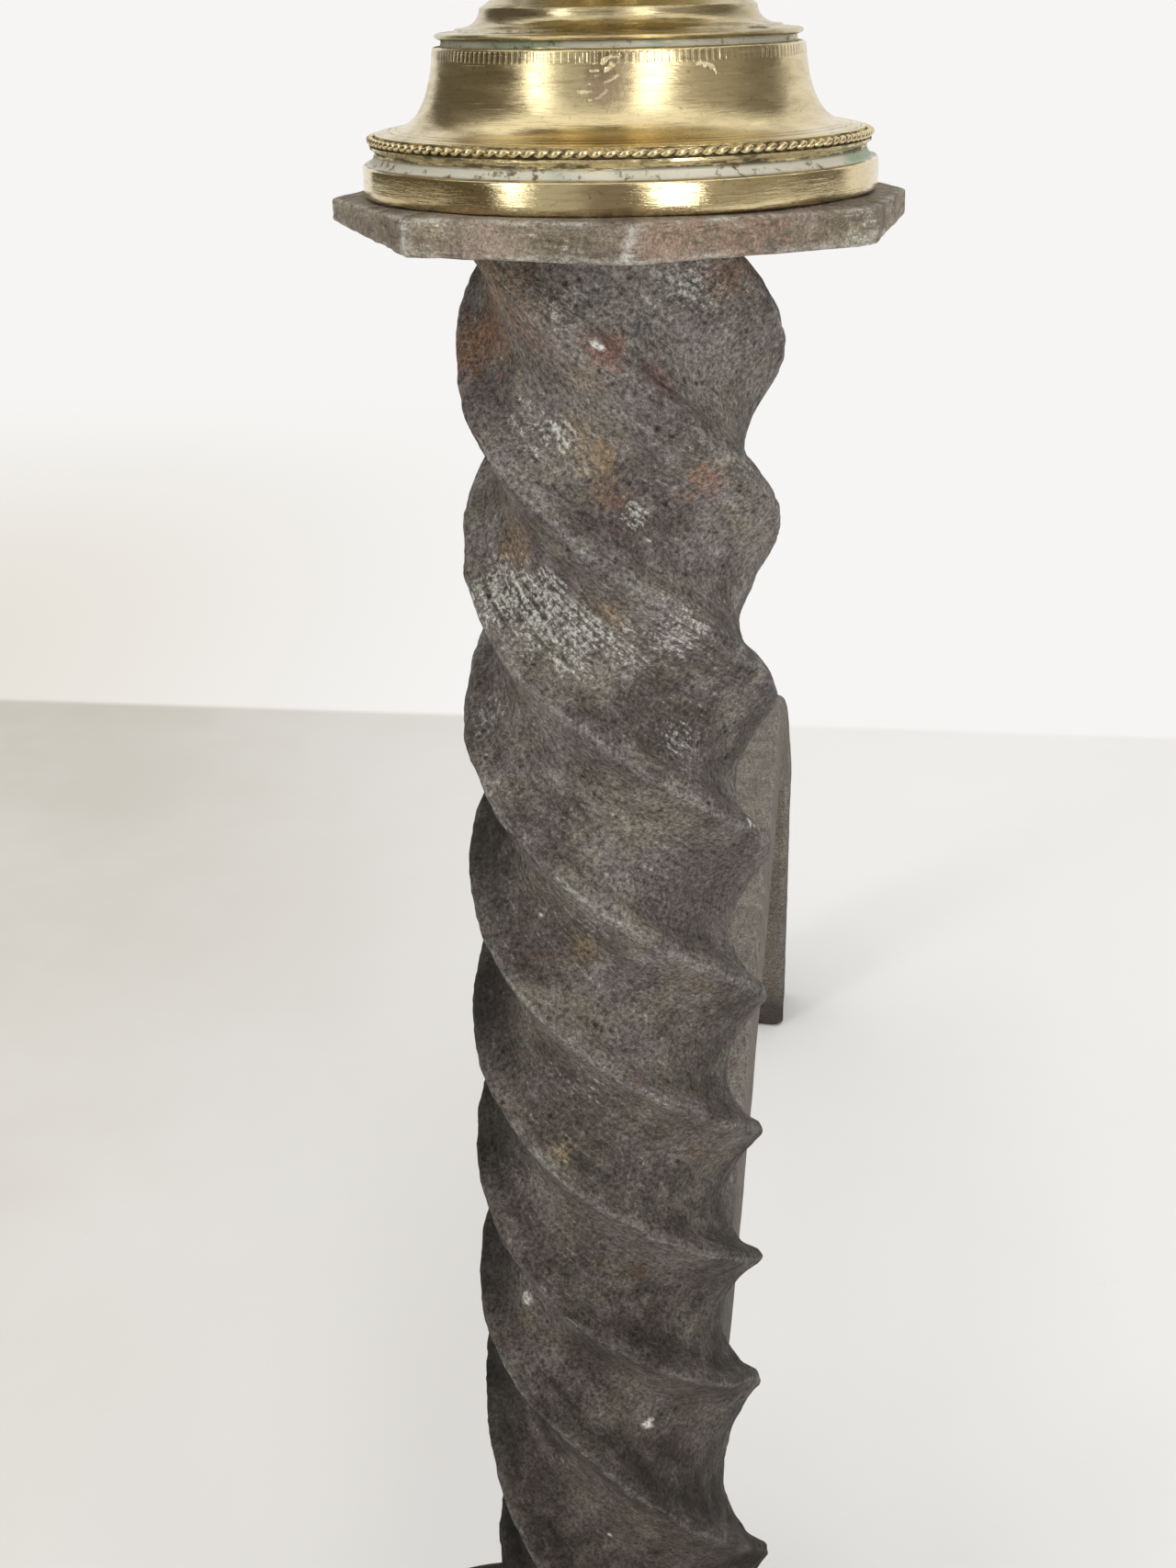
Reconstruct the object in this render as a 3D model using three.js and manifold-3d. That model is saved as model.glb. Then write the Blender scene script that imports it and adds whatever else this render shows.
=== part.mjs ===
// An andiron: a twisted iron upright under a turned brass finial, an arched pair of front
// legs, and a log bar that runs back and bends down into the rear leg.
// Millimetres, +Z up, the front towards -Y. Every piece is built round the upright's axis
// with the floor at z = 0, and the whole group is moved to its bounding box's centre last.

import * as THREE from 'three';
import { mergeVertices } from 'three/addons/utils/BufferGeometryUtils.js';
import Module from 'manifold-3d';

const wasm = await Module();
wasm.setup();

// Front legs: one bar forged into an arch, with a round pad under each end.
const ARCH_RISE = 101;
const ARCH_SPREAD = 208;
const ARCH_DEPTH = 30;
const CROWN_THICKNESS = 24;
const ANKLE_THICKNESS = 20;
const ARCH_EDGE = 2.5;
const PAD_RADIUS = 24;
const PAD_THICKNESS = 7;
const PAD_EDGE = 1.8;
const PAD_SHIFT = 6;
const SEAT_DEPTH = 3;
const ROVE_SEAT_DEPTH = 1;

// Upright: one square bar, twisted left-handed from the plate down to a short block, less
// tightly over the run-out at its foot than above it.
const BLOCK_SIDE = 42;
const BLOCK_LENGTH = 6;
const BLOCK_CORNER = 3;
const SHOULDER_LENGTH = 3;
const RUN_OUT_LENGTH = 69;
const RUN_OUT_TURN_DEG = 137;
const TWIST_LENGTH = 211;
const TWIST_TURN_DEG = 675;
const SHAFT_SIDE_TOP = 38;
const SHAFT_SIDE_FOOT = 39.5;
const SHAFT_CORNER = 4.5;
const FACE_HOLLOW = 1.1;
const SHAFT_LEAN = 1.8;
const SHAFT_BOW = 1.2;
const FOOT_TENON_RADIUS = 10;
const FOOT_HEAD_RADIUS = 14;
const FOOT_HEAD_HEIGHT = 6;
const FOOT_HEAD_FLAT_RADIUS = 4;
const TOP_TENON_RADIUS = 9;
const TOP_HEAD_RADIUS = 13;
const TOP_HEAD_HEIGHT = 3;

// Washer under the riveted foot tenon.
const ROVE_RADIUS = 19;
const ROVE_THICKNESS = 4;
const ROVE_EDGE = 1;

// Log bar, and the rear leg that it bends down into.
const BAR_WIDTH = 35;
const BAR_DEPTH = 38;
const BAR_HEIGHT_ON_ARCH = 41;
const BAR_CORNER = 3.5;
const BAR_END_LENGTH = 11;
const BAR_END_TAPER = 0.5;
const BAR_REACH = 411;
const BEND_INNER_RADIUS = 8;
const LEG_WIDTH = 42;
const LEG_DEPTH = 31;
const SOLE_EDGE = 1.5;
const BAR_TENON_RADIUS = 7;
const BAR_TENON_DROP = 8;
const BAR_HEAD_RADIUS = 10;
const BAR_HEAD_DEPTH = 2.5;
const HOUSING_Y = 18;

// Eight-sided plate, cut by hand, so that its corners are not quite evenly spaced.
const PLATE_RADIUS = 42.8;
const PLATE_THICKNESS = 5;
const PLATE_EDGE = 0.7;
const PLATE_CORNERS_DEG = [9.5, 54.5, 99.5, 144.5, 189.5, 234.5, 279.5, 326];

// Brass base on the plate: band, beaded edge and flared skirt.
const BAND_RADIUS = 36.9;
const BAND_HEIGHT = 4.4;
const BAND_TAPER = 0.4;
const BEAD_RADIUS = 1.15;
const BEAD_RING_RADIUS = 34.9;
const BEAD_HEIGHT = 6.5;
const BEAD_GROOVE_DEPTH = 0.6;
const BEAD_GROOVE_HEIGHT = 5.1;
const SKIRT_FOOT_HEIGHT = 7.8;
const SKIRT_WAIST_RADIUS = 27.6;
const SKIRT_WAIST_HEIGHT = 9.6;
const SKIRT_TOP_RADIUS = 26.3;
const SKIRT_TOP_HEIGHT = 19.3;
const SKIRT_LIP = 0.3;
const BASE_HEIGHT = 20.4;
const BASE_TOP_RADIUS = 25.2;

// Brass neck, the waisted stem under the body.
const NECK_HEIGHT = 25;
const NECK_RIM_RADIUS = 25.9;
const NECK_RIM_HEIGHT = 0.9;
const NECK_LEDGE_RADIUS = 22.8;
const NECK_LEDGE_HEIGHT = 1.4;
const NECK_THROAT_RADIUS = 19.6;
const NECK_THROAT_HEIGHT = 3.9;
const NECK_WAIST_RADIUS = 11.5;
const NECK_WAIST_HEIGHT = 18;
const NECK_TOP_RADIUS = 16.5;
const NECK_TOP_THICKNESS = 2;

// Brass body: two hollow halves that meet above the belt.
const BODY_RADIUS = 41;
const BODY_FOOT_RADIUS = 14;
const BOWL_HEIGHT = 37;
const BELT_HEIGHT = 6;
const BELT_PROUD = 2.4;
const BELT_EDGE = 1;
const BELT_STEP = 0.6;
const DOME_HEIGHT = 30;
const DOME_TOP_RADIUS = 15;
const SPIGOT_HEIGHT = 4;
const BRASS_WALL = 2.8;
const WEB_THICKNESS = 3.6;

// Brass cap and the top knob that screws on to the tie rod.
const CAP_HEIGHT = 14;
const CAP_RADIUS = 19;
const CAP_LIP_HEIGHT = 3.5;
const CAP_NECK_RADIUS = 9.5;
const CAP_FLARE = 1;
const CAP_FLARE_HEIGHT = 2;
const KNOB_COLLAR_RADIUS = 12.5;
const KNOB_COLLAR_HEIGHT = 4;
const KNOB_COLLAR_EDGE = 1;
const KNOB_STEM_RADIUS = 8;
const KNOB_STEM_HEIGHT = 5;
const KNOB_BALL_RADIUS = 15;
const KNOB_TIP_RADIUS = 4.2;
const KNOB_TIP_HEIGHT = 9;
const KNOB_TIP_NECK_RADIUS = 2.7;
const KNOB_TIP_NECK_HEIGHT = 1;
const KNOB_TIP_SWELL = 8.4;

// Iron tie rod, screwed into the upright below and into the knob above.
const ROD_RADIUS = 5;
const ROD_DEPTH_IN_UPRIGHT = 26;
const ROD_DEPTH_IN_KNOB = 18;
const ROD_EDGE = 0.8;

// Fits.
const ROD_CLEARANCE = 0.2;
const TENON_CLEARANCE = 0.2;
const SEAT_CLEARANCE = 0.3;
const BORE_END_GAP = 1;

// Fineness of the faceted surfaces.
const LATHE_STEPS = 32;
const BORE_STEPS = 24;
const ARCH_STEPS = 24;
const CORNER_STEPS = 3;
const SIDE_STEPS = 3;
const DEGREES_PER_RING = 10;
const SHOULDER_RINGS = 3;
const BEND_STEPS = 7;
const CURVE_STEPS = 6;
const BODY_STEPS = 10;
const SMALL_STEPS = 4;

// Heights above the floor, stacked from the arch upwards.
const SEAT_Z = ARCH_RISE - SEAT_DEPTH;
const BLOCK_TOP_Z = SEAT_Z + BLOCK_LENGTH;
const TURN_FOOT_Z = BLOCK_TOP_Z + SHOULDER_LENGTH;
const TURN_LENGTH = RUN_OUT_LENGTH + TWIST_LENGTH;
const PLATE_Z = TURN_FOOT_Z + TURN_LENGTH;
const BASE_Z = PLATE_Z + PLATE_THICKNESS;
const NECK_Z = BASE_Z + BASE_HEIGHT;
const BOWL_Z = NECK_Z + NECK_HEIGHT;
const BELT_Z = BOWL_Z + BOWL_HEIGHT;
const DOME_Z = BELT_Z + BELT_HEIGHT;
const CAP_Z = DOME_Z + DOME_HEIGHT;
const KNOB_Z = CAP_Z + CAP_HEIGHT;
const ROVE_TOP_Z = ARCH_RISE - CROWN_THICKNESS + ROVE_SEAT_DEPTH;
const ROVE_FOOT_Z = ROVE_TOP_Z - ROVE_THICKNESS;
const BAR_CENTRE_Z = SEAT_Z + BAR_HEIGHT_ON_ARCH;
const BAR_TENON_Z = BAR_CENTRE_Z - BAR_TENON_DROP;
const ROD_FOOT_Z = BASE_Z + TOP_HEAD_HEIGHT - ROD_DEPTH_IN_UPRIGHT;
const ROD_TOP_Z = KNOB_Z + ROD_DEPTH_IN_KNOB;

const ROD_BORE_RADIUS = ROD_RADIUS + ROD_CLEARANCE;
const BLOCK_HALF = BLOCK_SIDE / 2;
const QUARTER_TURN = Math.PI / 2;

const wroughtIron = { color: 0x4e4944, roughness: 0.82, metalness: 0.6 };
const plateIron = { color: 0x6b635a, roughness: 0.78, metalness: 0.6 };
const rodIron = { color: 0x5a5754, roughness: 0.6, metalness: 0.8 };
const agedBrass = { color: 0xb39a58, roughness: 0.3, metalness: 1.0 };

const andiron = new THREE.Group();
const head = new THREE.Group();
head.position.x = SHAFT_LEAN;
andiron.add(head);

function addPiece(group, name, geometry, finish) {
  const mesh = new THREE.Mesh(geometry, new THREE.MeshStandardMaterial(finish));
  mesh.name = name;
  group.add(mesh);
}

// Cutting and joining.

function toSolid(geometry) {
  const plain = geometry.clone();
  plain.deleteAttribute('normal');
  plain.deleteAttribute('uv');
  const merged = mergeVertices(plain);
  const vertProperties = Float32Array.from(merged.attributes.position.array);
  const triVerts = Uint32Array.from(merged.index.array);
  return new wasm.Manifold(new wasm.Mesh({ numProp: 3, vertProperties, triVerts }));
}

function toGeometry(solid) {
  const mesh = solid.getMesh();
  const geometry = new THREE.BufferGeometry();
  geometry.setAttribute('position', new THREE.BufferAttribute(mesh.vertProperties, 3));
  geometry.setIndex(new THREE.BufferAttribute(mesh.triVerts, 1));
  return geometry;
}

// Turned pieces: a profile of [radius, height] points, spun round +Z or round +Y.

function turnedAboutY(profile, steps) {
  const points = profile.map(([radius, height]) => new THREE.Vector2(radius, height));
  return new THREE.LatheGeometry(points, steps);
}

function turned(profile, steps = LATHE_STEPS) {
  return turnedAboutY(profile, steps).rotateX(QUARTER_TURN);
}

function hollowTurned(outer, inner) {
  return turned([...outer, ...inner.reverse(), outer[0]]);
}

function curve(start, control, end, steps = CURVE_STEPS) {
  const [a, b, c] = [start, control, end].map((point) => new THREE.Vector2(...point));
  const points = new THREE.QuadraticBezierCurve(a, b, c).getPoints(steps);
  return points.map((point) => [point.x, point.y]);
}

function arc(centre, radiusAcross, radiusUp, fromTurn, toTurn, steps = CURVE_STEPS) {
  const points = [];
  for (let step = 0; step <= steps; step++) {
    const angle = THREE.MathUtils.lerp(fromTurn, toTurn, step / steps);
    points.push([centre[0] + radiusAcross * Math.cos(angle), centre[1] + radiusUp * Math.sin(angle)]);
  }
  return points;
}

// Lofted pieces: rings with the same number of points, joined by bands and closed at the ends.

// Outline of a rounded rectangle, anticlockwise; hollow sinks the middle of each side.
function roundedOutline(width, depth, corner, hollow = 0) {
  const points = [];
  for (let side = 0; side < 4; side++) {
    const turn = side * QUARTER_TURN;
    const [along, across] = side % 2 === 0 ? [width, depth] : [depth, width];
    const cornerX = along / 2 - corner;
    const cornerY = across / 2 - corner;
    for (let step = 0; step <= CORNER_STEPS; step++) {
      const angle = (QUARTER_TURN * step) / CORNER_STEPS;
      const point = new THREE.Vector2(cornerX + corner * Math.cos(angle), cornerY + corner * Math.sin(angle));
      points.push(point.rotateAround(new THREE.Vector2(), turn));
    }
    for (let step = 1; step < SIDE_STEPS; step++) {
      const share = 1 - (2 * step) / SIDE_STEPS;
      const sunk = across / 2 - hollow * (1 - share * share);
      points.push(new THREE.Vector2(cornerX * share, sunk).rotateAround(new THREE.Vector2(), turn));
    }
  }
  return points;
}

// A circle with as many points as a rounded outline, in the same order.
function roundOutline(radius) {
  return roundedOutline(2 * radius, 2 * radius, radius / 2).map((point) => point.setLength(radius));
}

function levelRing(outline, z, turn = 0, shiftX = 0) {
  return outline.map((point) => {
    const turnedPoint = point.clone().rotateAround(new THREE.Vector2(), turn);
    return new THREE.Vector3(turnedPoint.x + shiftX, turnedPoint.y, z);
  });
}

function ringCentre(ring) {
  const sum = new THREE.Vector3();
  ring.forEach((point) => sum.add(point));
  return sum.divideScalar(ring.length);
}

function loft(rings) {
  const count = rings[0].length;
  const first = ringCentre(rings[0]);
  const last = ringCentre(rings[rings.length - 1]);
  const points = [...rings.flat(), first, last];
  const firstIndex = points.length - 2;
  const lastIndex = points.length - 1;
  const lastRing = (rings.length - 1) * count;
  const triangles = [];
  for (let i = 0; i < count; i++) {
    const next = (i + 1) % count;
    for (let ring = 0; ring + 1 < rings.length; ring++) {
      const low = ring * count;
      const high = low + count;
      triangles.push(low + i, low + next, high + next);
      triangles.push(low + i, high + next, high + i);
    }
    triangles.push(firstIndex, next, i);
    triangles.push(lastIndex, lastRing + i, lastRing + next);
  }
  const geometry = new THREE.BufferGeometry().setFromPoints(points);
  geometry.setIndex(triangles);
  return geometry;
}

// Upright: riveted foot tenon, block, shoulder, twist, and a riveted top tenon bored for the rod.

function footTenonRings() {
  const domeStart = Math.acos(FOOT_HEAD_FLAT_RADIUS / FOOT_HEAD_RADIUS);
  const dome = arc([0, ROVE_FOOT_Z], FOOT_HEAD_RADIUS, -FOOT_HEAD_HEIGHT, domeStart, 0);
  const rings = dome.map(([radius, z]) => levelRing(roundOutline(radius), z));
  rings.push(levelRing(roundOutline(FOOT_TENON_RADIUS), ROVE_FOOT_Z));
  rings.push(levelRing(roundOutline(FOOT_TENON_RADIUS), SEAT_Z));
  return rings;
}

// Section of the shaft at a share of the way up from the foot of the run-out to the plate.
function shaftOutline(share) {
  const side = THREE.MathUtils.lerp(SHAFT_SIDE_FOOT, SHAFT_SIDE_TOP, share);
  return roundedOutline(side, side, SHAFT_CORNER, FACE_HOLLOW);
}

function blockRings() {
  const block = roundedOutline(BLOCK_SIDE, BLOCK_SIDE, BLOCK_CORNER);
  const shaft = shaftOutline(0);
  const rings = [levelRing(block, SEAT_Z)];
  for (let step = 0; step < SHOULDER_RINGS; step++) {
    const share = step / SHOULDER_RINGS;
    const ease = THREE.MathUtils.smoothstep(share, 0, 1);
    const outline = block.map((point, i) => point.clone().lerp(shaft[i], ease));
    rings.push(levelRing(outline, BLOCK_TOP_Z + SHOULDER_LENGTH * share));
  }
  return rings;
}

// Height above the run-out's foot at which the section has turned by so many degrees.
function heightAtTurn(degrees) {
  if (degrees < RUN_OUT_TURN_DEG) {
    return (RUN_OUT_LENGTH * degrees) / RUN_OUT_TURN_DEG;
  }
  return RUN_OUT_LENGTH + (TWIST_LENGTH * (degrees - RUN_OUT_TURN_DEG)) / TWIST_TURN_DEG;
}

// The section turns clockwise on its way up. The shaft leans to +X and bows to -X.
function twistRings() {
  const rings = [];
  const wholeTurn = RUN_OUT_TURN_DEG + TWIST_TURN_DEG;
  const count = Math.ceil(wholeTurn / DEGREES_PER_RING);
  for (let step = 0; step <= count; step++) {
    const degrees = (wholeTurn * step) / count;
    const height = heightAtTurn(degrees);
    const share = height / TURN_LENGTH;
    const turn = -THREE.MathUtils.degToRad(degrees);
    const shift = SHAFT_LEAN * share - SHAFT_BOW * Math.sin(Math.PI * (1 - share) ** 2);
    rings.push(levelRing(shaftOutline(share), TURN_FOOT_Z + height, turn, shift));
  }
  return rings;
}

function topTenonRings() {
  const headTop = BASE_Z + TOP_HEAD_HEIGHT;
  const boreFoot = ROD_FOOT_Z - BORE_END_GAP;
  const steps = [
    [TOP_TENON_RADIUS, PLATE_Z],
    [TOP_TENON_RADIUS, BASE_Z],
    [TOP_HEAD_RADIUS, BASE_Z],
    [(TOP_HEAD_RADIUS + TOP_TENON_RADIUS) / 2, headTop],
    [ROD_BORE_RADIUS, headTop],
    [ROD_BORE_RADIUS, boreFoot],
  ];
  return steps.map(([radius, z]) => levelRing(roundOutline(radius), z, 0, SHAFT_LEAN));
}

function uncutUpright() {
  return toSolid(loft([...footTenonRings(), ...blockRings(), ...twistRings(), ...topTenonRings()]));
}

// The log bar's tenon and the countersunk head that it is riveted into, wider by a clearance.
// The head runs out past the shaft's face, to be cut off flush with it.
function barTenon(clearance) {
  const headBack = BAR_HEAD_DEPTH - SHAFT_SIDE_FOOT / 2;
  const profile = [
    [0, -SHAFT_SIDE_FOOT],
    [BAR_HEAD_RADIUS + clearance, -SHAFT_SIDE_FOOT],
    [BAR_HEAD_RADIUS + clearance, headBack],
    [BAR_TENON_RADIUS + clearance, headBack + BAR_HEAD_RADIUS - BAR_TENON_RADIUS],
    [BAR_TENON_RADIUS + clearance, BLOCK_HALF],
    [0, BLOCK_HALF],
  ];
  return toSolid(turnedAboutY(profile, BORE_STEPS).translate(0, 0, BAR_TENON_Z));
}

// Shallow housing in the upright's back for the log bar's square end.
function barHousing() {
  const width = BAR_WIDTH + 2 * TENON_CLEARANCE;
  const height = BAR_DEPTH + 2 * TENON_CLEARANCE;
  const housing = new THREE.BoxGeometry(width, BLOCK_SIDE, height);
  return toSolid(housing.translate(0, HOUSING_Y + BLOCK_HALF, BAR_CENTRE_Z));
}

function makeUpright() {
  return toGeometry(uncutUpright().subtract(barTenon(TENON_CLEARANCE)).subtract(barHousing()));
}

// Front legs.

function archBar() {
  const outer = ARCH_SPREAD / 2;
  const inner = outer - ANKLE_THICKNESS;
  const shape = new THREE.Shape();
  shape.moveTo(-inner, 0);
  shape.lineTo(-outer, 0);
  shape.absellipse(0, 0, outer, ARCH_RISE, Math.PI, 0, true);
  shape.lineTo(inner, 0);
  shape.absellipse(0, 0, inner, ARCH_RISE - CROWN_THICKNESS, 0, Math.PI, false);
  const bar = new THREE.ExtrudeGeometry(shape, {
    depth: ARCH_DEPTH - 2 * ARCH_EDGE,
    curveSegments: ARCH_STEPS,
    bevelThickness: ARCH_EDGE,
    bevelSize: ARCH_EDGE,
    bevelOffset: -ARCH_EDGE,
    bevelSegments: 2,
  });
  return bar.rotateX(QUARTER_TURN).translate(0, ARCH_DEPTH / 2 - ARCH_EDGE, 0);
}

function footPad(x) {
  const edgeRadius = PAD_RADIUS - PAD_EDGE;
  const profile = [
    [0, 0],
    [edgeRadius, 0],
    [PAD_RADIUS, PAD_EDGE],
    [PAD_RADIUS, PAD_THICKNESS - PAD_EDGE],
    [edgeRadius, PAD_THICKNESS],
    [0, PAD_THICKNESS],
  ];
  return turned(profile, BORE_STEPS).translate(x, 0, 0);
}

function makeFrontLegs() {
  const padX = ARCH_SPREAD / 2 - ANKLE_THICKNESS / 2 + PAD_SHIFT;
  const seatHalf = BLOCK_HALF + SEAT_CLEARANCE;
  const seat = new THREE.BoxGeometry(2 * seatHalf, 2 * ARCH_DEPTH, 2 * ARCH_RISE);
  const tenonRadius = FOOT_TENON_RADIUS + TENON_CLEARANCE;
  const roveRadius = ROVE_RADIUS + SEAT_CLEARANCE;
  const tenonHole = turned([[0, 0], [tenonRadius, 0], [tenonRadius, ARCH_RISE], [0, ARCH_RISE]], BORE_STEPS);
  const roveSeat = turned([[0, 0], [roveRadius, 0], [roveRadius, ROVE_TOP_Z], [0, ROVE_TOP_Z]], BORE_STEPS);
  const legs = toSolid(archBar())
    .add(toSolid(footPad(-padX)))
    .add(toSolid(footPad(padX)))
    .subtract(toSolid(seat.translate(0, 0, SEAT_Z + ARCH_RISE)))
    .subtract(toSolid(tenonHole))
    .subtract(toSolid(roveSeat));
  return toGeometry(legs);
}

function makeRoveWasher() {
  const hole = FOOT_TENON_RADIUS + TENON_CLEARANCE;
  const profile = [
    [hole, ROVE_FOOT_Z],
    [ROVE_RADIUS - ROVE_EDGE, ROVE_FOOT_Z],
    [ROVE_RADIUS, ROVE_FOOT_Z + ROVE_EDGE],
    [ROVE_RADIUS, ROVE_TOP_Z],
    [hole, ROVE_TOP_Z],
    [hole, ROVE_FOOT_Z],
  ];
  return turned(profile, BORE_STEPS);
}

// Log bar and rear leg: straight bar, bend and leg as one loft, with the tenon joined on. The
// bar's end is drawn down a little where it enters the upright.

// A ring across the bar, in the direction of its run: outline y points to the bar's outer side.
function barRing(outline, y, z, outY, outZ) {
  return outline.map((point) => new THREE.Vector3(-point.x, y + point.y * outY, z + point.y * outZ));
}

function barOutline(width, depth, smaller = 0) {
  return roundedOutline(width - 2 * smaller, depth - 2 * smaller, BAR_CORNER);
}

function bendRings() {
  const rings = [];
  const pivotY = BAR_REACH - BEND_INNER_RADIUS;
  const pivotZ = BAR_CENTRE_Z - BAR_DEPTH / 2 - BEND_INNER_RADIUS;
  for (let step = 0; step <= BEND_STEPS; step++) {
    const share = step / BEND_STEPS;
    const angle = QUARTER_TURN * share;
    const depth = THREE.MathUtils.lerp(BAR_DEPTH, LEG_DEPTH, share);
    const width = THREE.MathUtils.lerp(BAR_WIDTH, LEG_WIDTH, share);
    const reach = BEND_INNER_RADIUS + depth / 2;
    const y = pivotY + reach * Math.sin(angle);
    const z = pivotZ + reach * Math.cos(angle);
    rings.push(barRing(barOutline(width, depth), y, z, Math.sin(angle), Math.cos(angle)));
  }
  return rings;
}

function makeLogBar() {
  const legY = BAR_REACH + LEG_DEPTH / 2;
  const kneeZ = BAR_CENTRE_Z - BAR_DEPTH / 2 - BEND_INNER_RADIUS;
  const rings = [
    barRing(barOutline(BAR_WIDTH, BAR_DEPTH, BAR_END_TAPER), HOUSING_Y, BAR_CENTRE_Z, 0, 1),
    barRing(barOutline(BAR_WIDTH, BAR_DEPTH), HOUSING_Y + BAR_END_LENGTH, BAR_CENTRE_Z, 0, 1),
    ...bendRings(),
    barRing(barOutline(LEG_WIDTH, LEG_DEPTH), legY, kneeZ / 2, 1, 0),
    barRing(barOutline(LEG_WIDTH, LEG_DEPTH), legY, SOLE_EDGE, 1, 0),
    barRing(barOutline(LEG_WIDTH, LEG_DEPTH, SOLE_EDGE), legY, 0, 1, 0),
  ];
  const flushTenon = barTenon(0).intersect(uncutUpright());
  return toGeometry(toSolid(loft(rings)).add(flushTenon));
}

// Plate.

function makePlate() {
  const corners = PLATE_CORNERS_DEG.map((degrees) => {
    const angle = THREE.MathUtils.degToRad(degrees);
    return new THREE.Vector2(PLATE_RADIUS * Math.cos(angle), PLATE_RADIUS * Math.sin(angle));
  });
  const shape = new THREE.Shape(corners);
  const hole = new THREE.Path();
  hole.absarc(0, 0, TOP_TENON_RADIUS + TENON_CLEARANCE + PLATE_EDGE, 0, 2 * Math.PI, true);
  shape.holes.push(hole);
  const plate = new THREE.ExtrudeGeometry(shape, {
    depth: PLATE_THICKNESS - 2 * PLATE_EDGE,
    curveSegments: BORE_STEPS,
    bevelThickness: PLATE_EDGE,
    bevelSize: PLATE_EDGE,
    bevelOffset: -PLATE_EDGE,
    bevelSegments: 1,
  });
  return plate.translate(0, 0, PLATE_Z + PLATE_EDGE);
}

// Brass pieces, each with its profile measured up from its own foot.

function makeBase() {
  const skirtFoot = [BEAD_RING_RADIUS, SKIRT_FOOT_HEIGHT];
  const skirtWaist = [SKIRT_WAIST_RADIUS, SKIRT_WAIST_HEIGHT];
  const beadCentre = [BEAD_RING_RADIUS, BEAD_HEIGHT];
  const outer = [
    [BAND_RADIUS, 0],
    [BAND_RADIUS - BAND_TAPER, BAND_HEIGHT],
    [BEAD_RING_RADIUS - BEAD_GROOVE_DEPTH, BEAD_GROOVE_HEIGHT],
    ...arc(beadCentre, BEAD_RADIUS, BEAD_RADIUS, -QUARTER_TURN, QUARTER_TURN, SMALL_STEPS),
    ...curve(skirtFoot, skirtWaist, [SKIRT_TOP_RADIUS, SKIRT_TOP_HEIGHT]),
    [BASE_TOP_RADIUS, SKIRT_TOP_HEIGHT + SKIRT_LIP],
    [BASE_TOP_RADIUS, BASE_HEIGHT],
    [ROD_BORE_RADIUS, BASE_HEIGHT],
  ];
  const inside = BEAD_RING_RADIUS - BRASS_WALL;
  const webFoot = BASE_HEIGHT - WEB_THICKNESS;
  const inner = [
    [inside, 0],
    ...curve(
      [inside, BAND_HEIGHT],
      [SKIRT_WAIST_RADIUS - BRASS_WALL, SKIRT_FOOT_HEIGHT],
      [SKIRT_TOP_RADIUS - BRASS_WALL, webFoot],
      SMALL_STEPS,
    ),
    [ROD_BORE_RADIUS, webFoot],
  ];
  return hollowTurned(outer, inner).translate(0, 0, BASE_Z);
}

function makeNeck() {
  const ledge = [NECK_LEDGE_RADIUS, NECK_LEDGE_HEIGHT];
  const throat = [NECK_THROAT_RADIUS, NECK_THROAT_HEIGHT];
  const waist = [NECK_WAIST_RADIUS, NECK_WAIST_HEIGHT];
  const topFoot = NECK_HEIGHT - NECK_TOP_THICKNESS;
  const outer = [
    [NECK_RIM_RADIUS, 0],
    [NECK_RIM_RADIUS, NECK_RIM_HEIGHT],
    ...curve(ledge, [NECK_THROAT_RADIUS, NECK_LEDGE_HEIGHT], throat, SMALL_STEPS),
    ...curve(throat, [NECK_WAIST_RADIUS, NECK_WAIST_HEIGHT / 2], waist).slice(1),
    ...curve(waist, [NECK_WAIST_RADIUS, topFoot], [NECK_TOP_RADIUS, topFoot], SMALL_STEPS).slice(1),
    [NECK_TOP_RADIUS, NECK_HEIGHT],
    [ROD_BORE_RADIUS, NECK_HEIGHT],
  ];
  const hollowTop = NECK_WAIST_HEIGHT - WEB_THICKNESS;
  const inner = [
    [NECK_THROAT_RADIUS - BRASS_WALL, 0],
    ...curve(
      [NECK_THROAT_RADIUS - BRASS_WALL, NECK_RIM_HEIGHT],
      [NECK_WAIST_RADIUS - BRASS_WALL, NECK_WAIST_HEIGHT / 2 - BRASS_WALL],
      [NECK_WAIST_RADIUS - BRASS_WALL, hollowTop],
      SMALL_STEPS,
    ),
    [ROD_BORE_RADIUS, hollowTop],
  ];
  return hollowTurned(outer, inner).translate(0, 0, NECK_Z);
}

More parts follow.
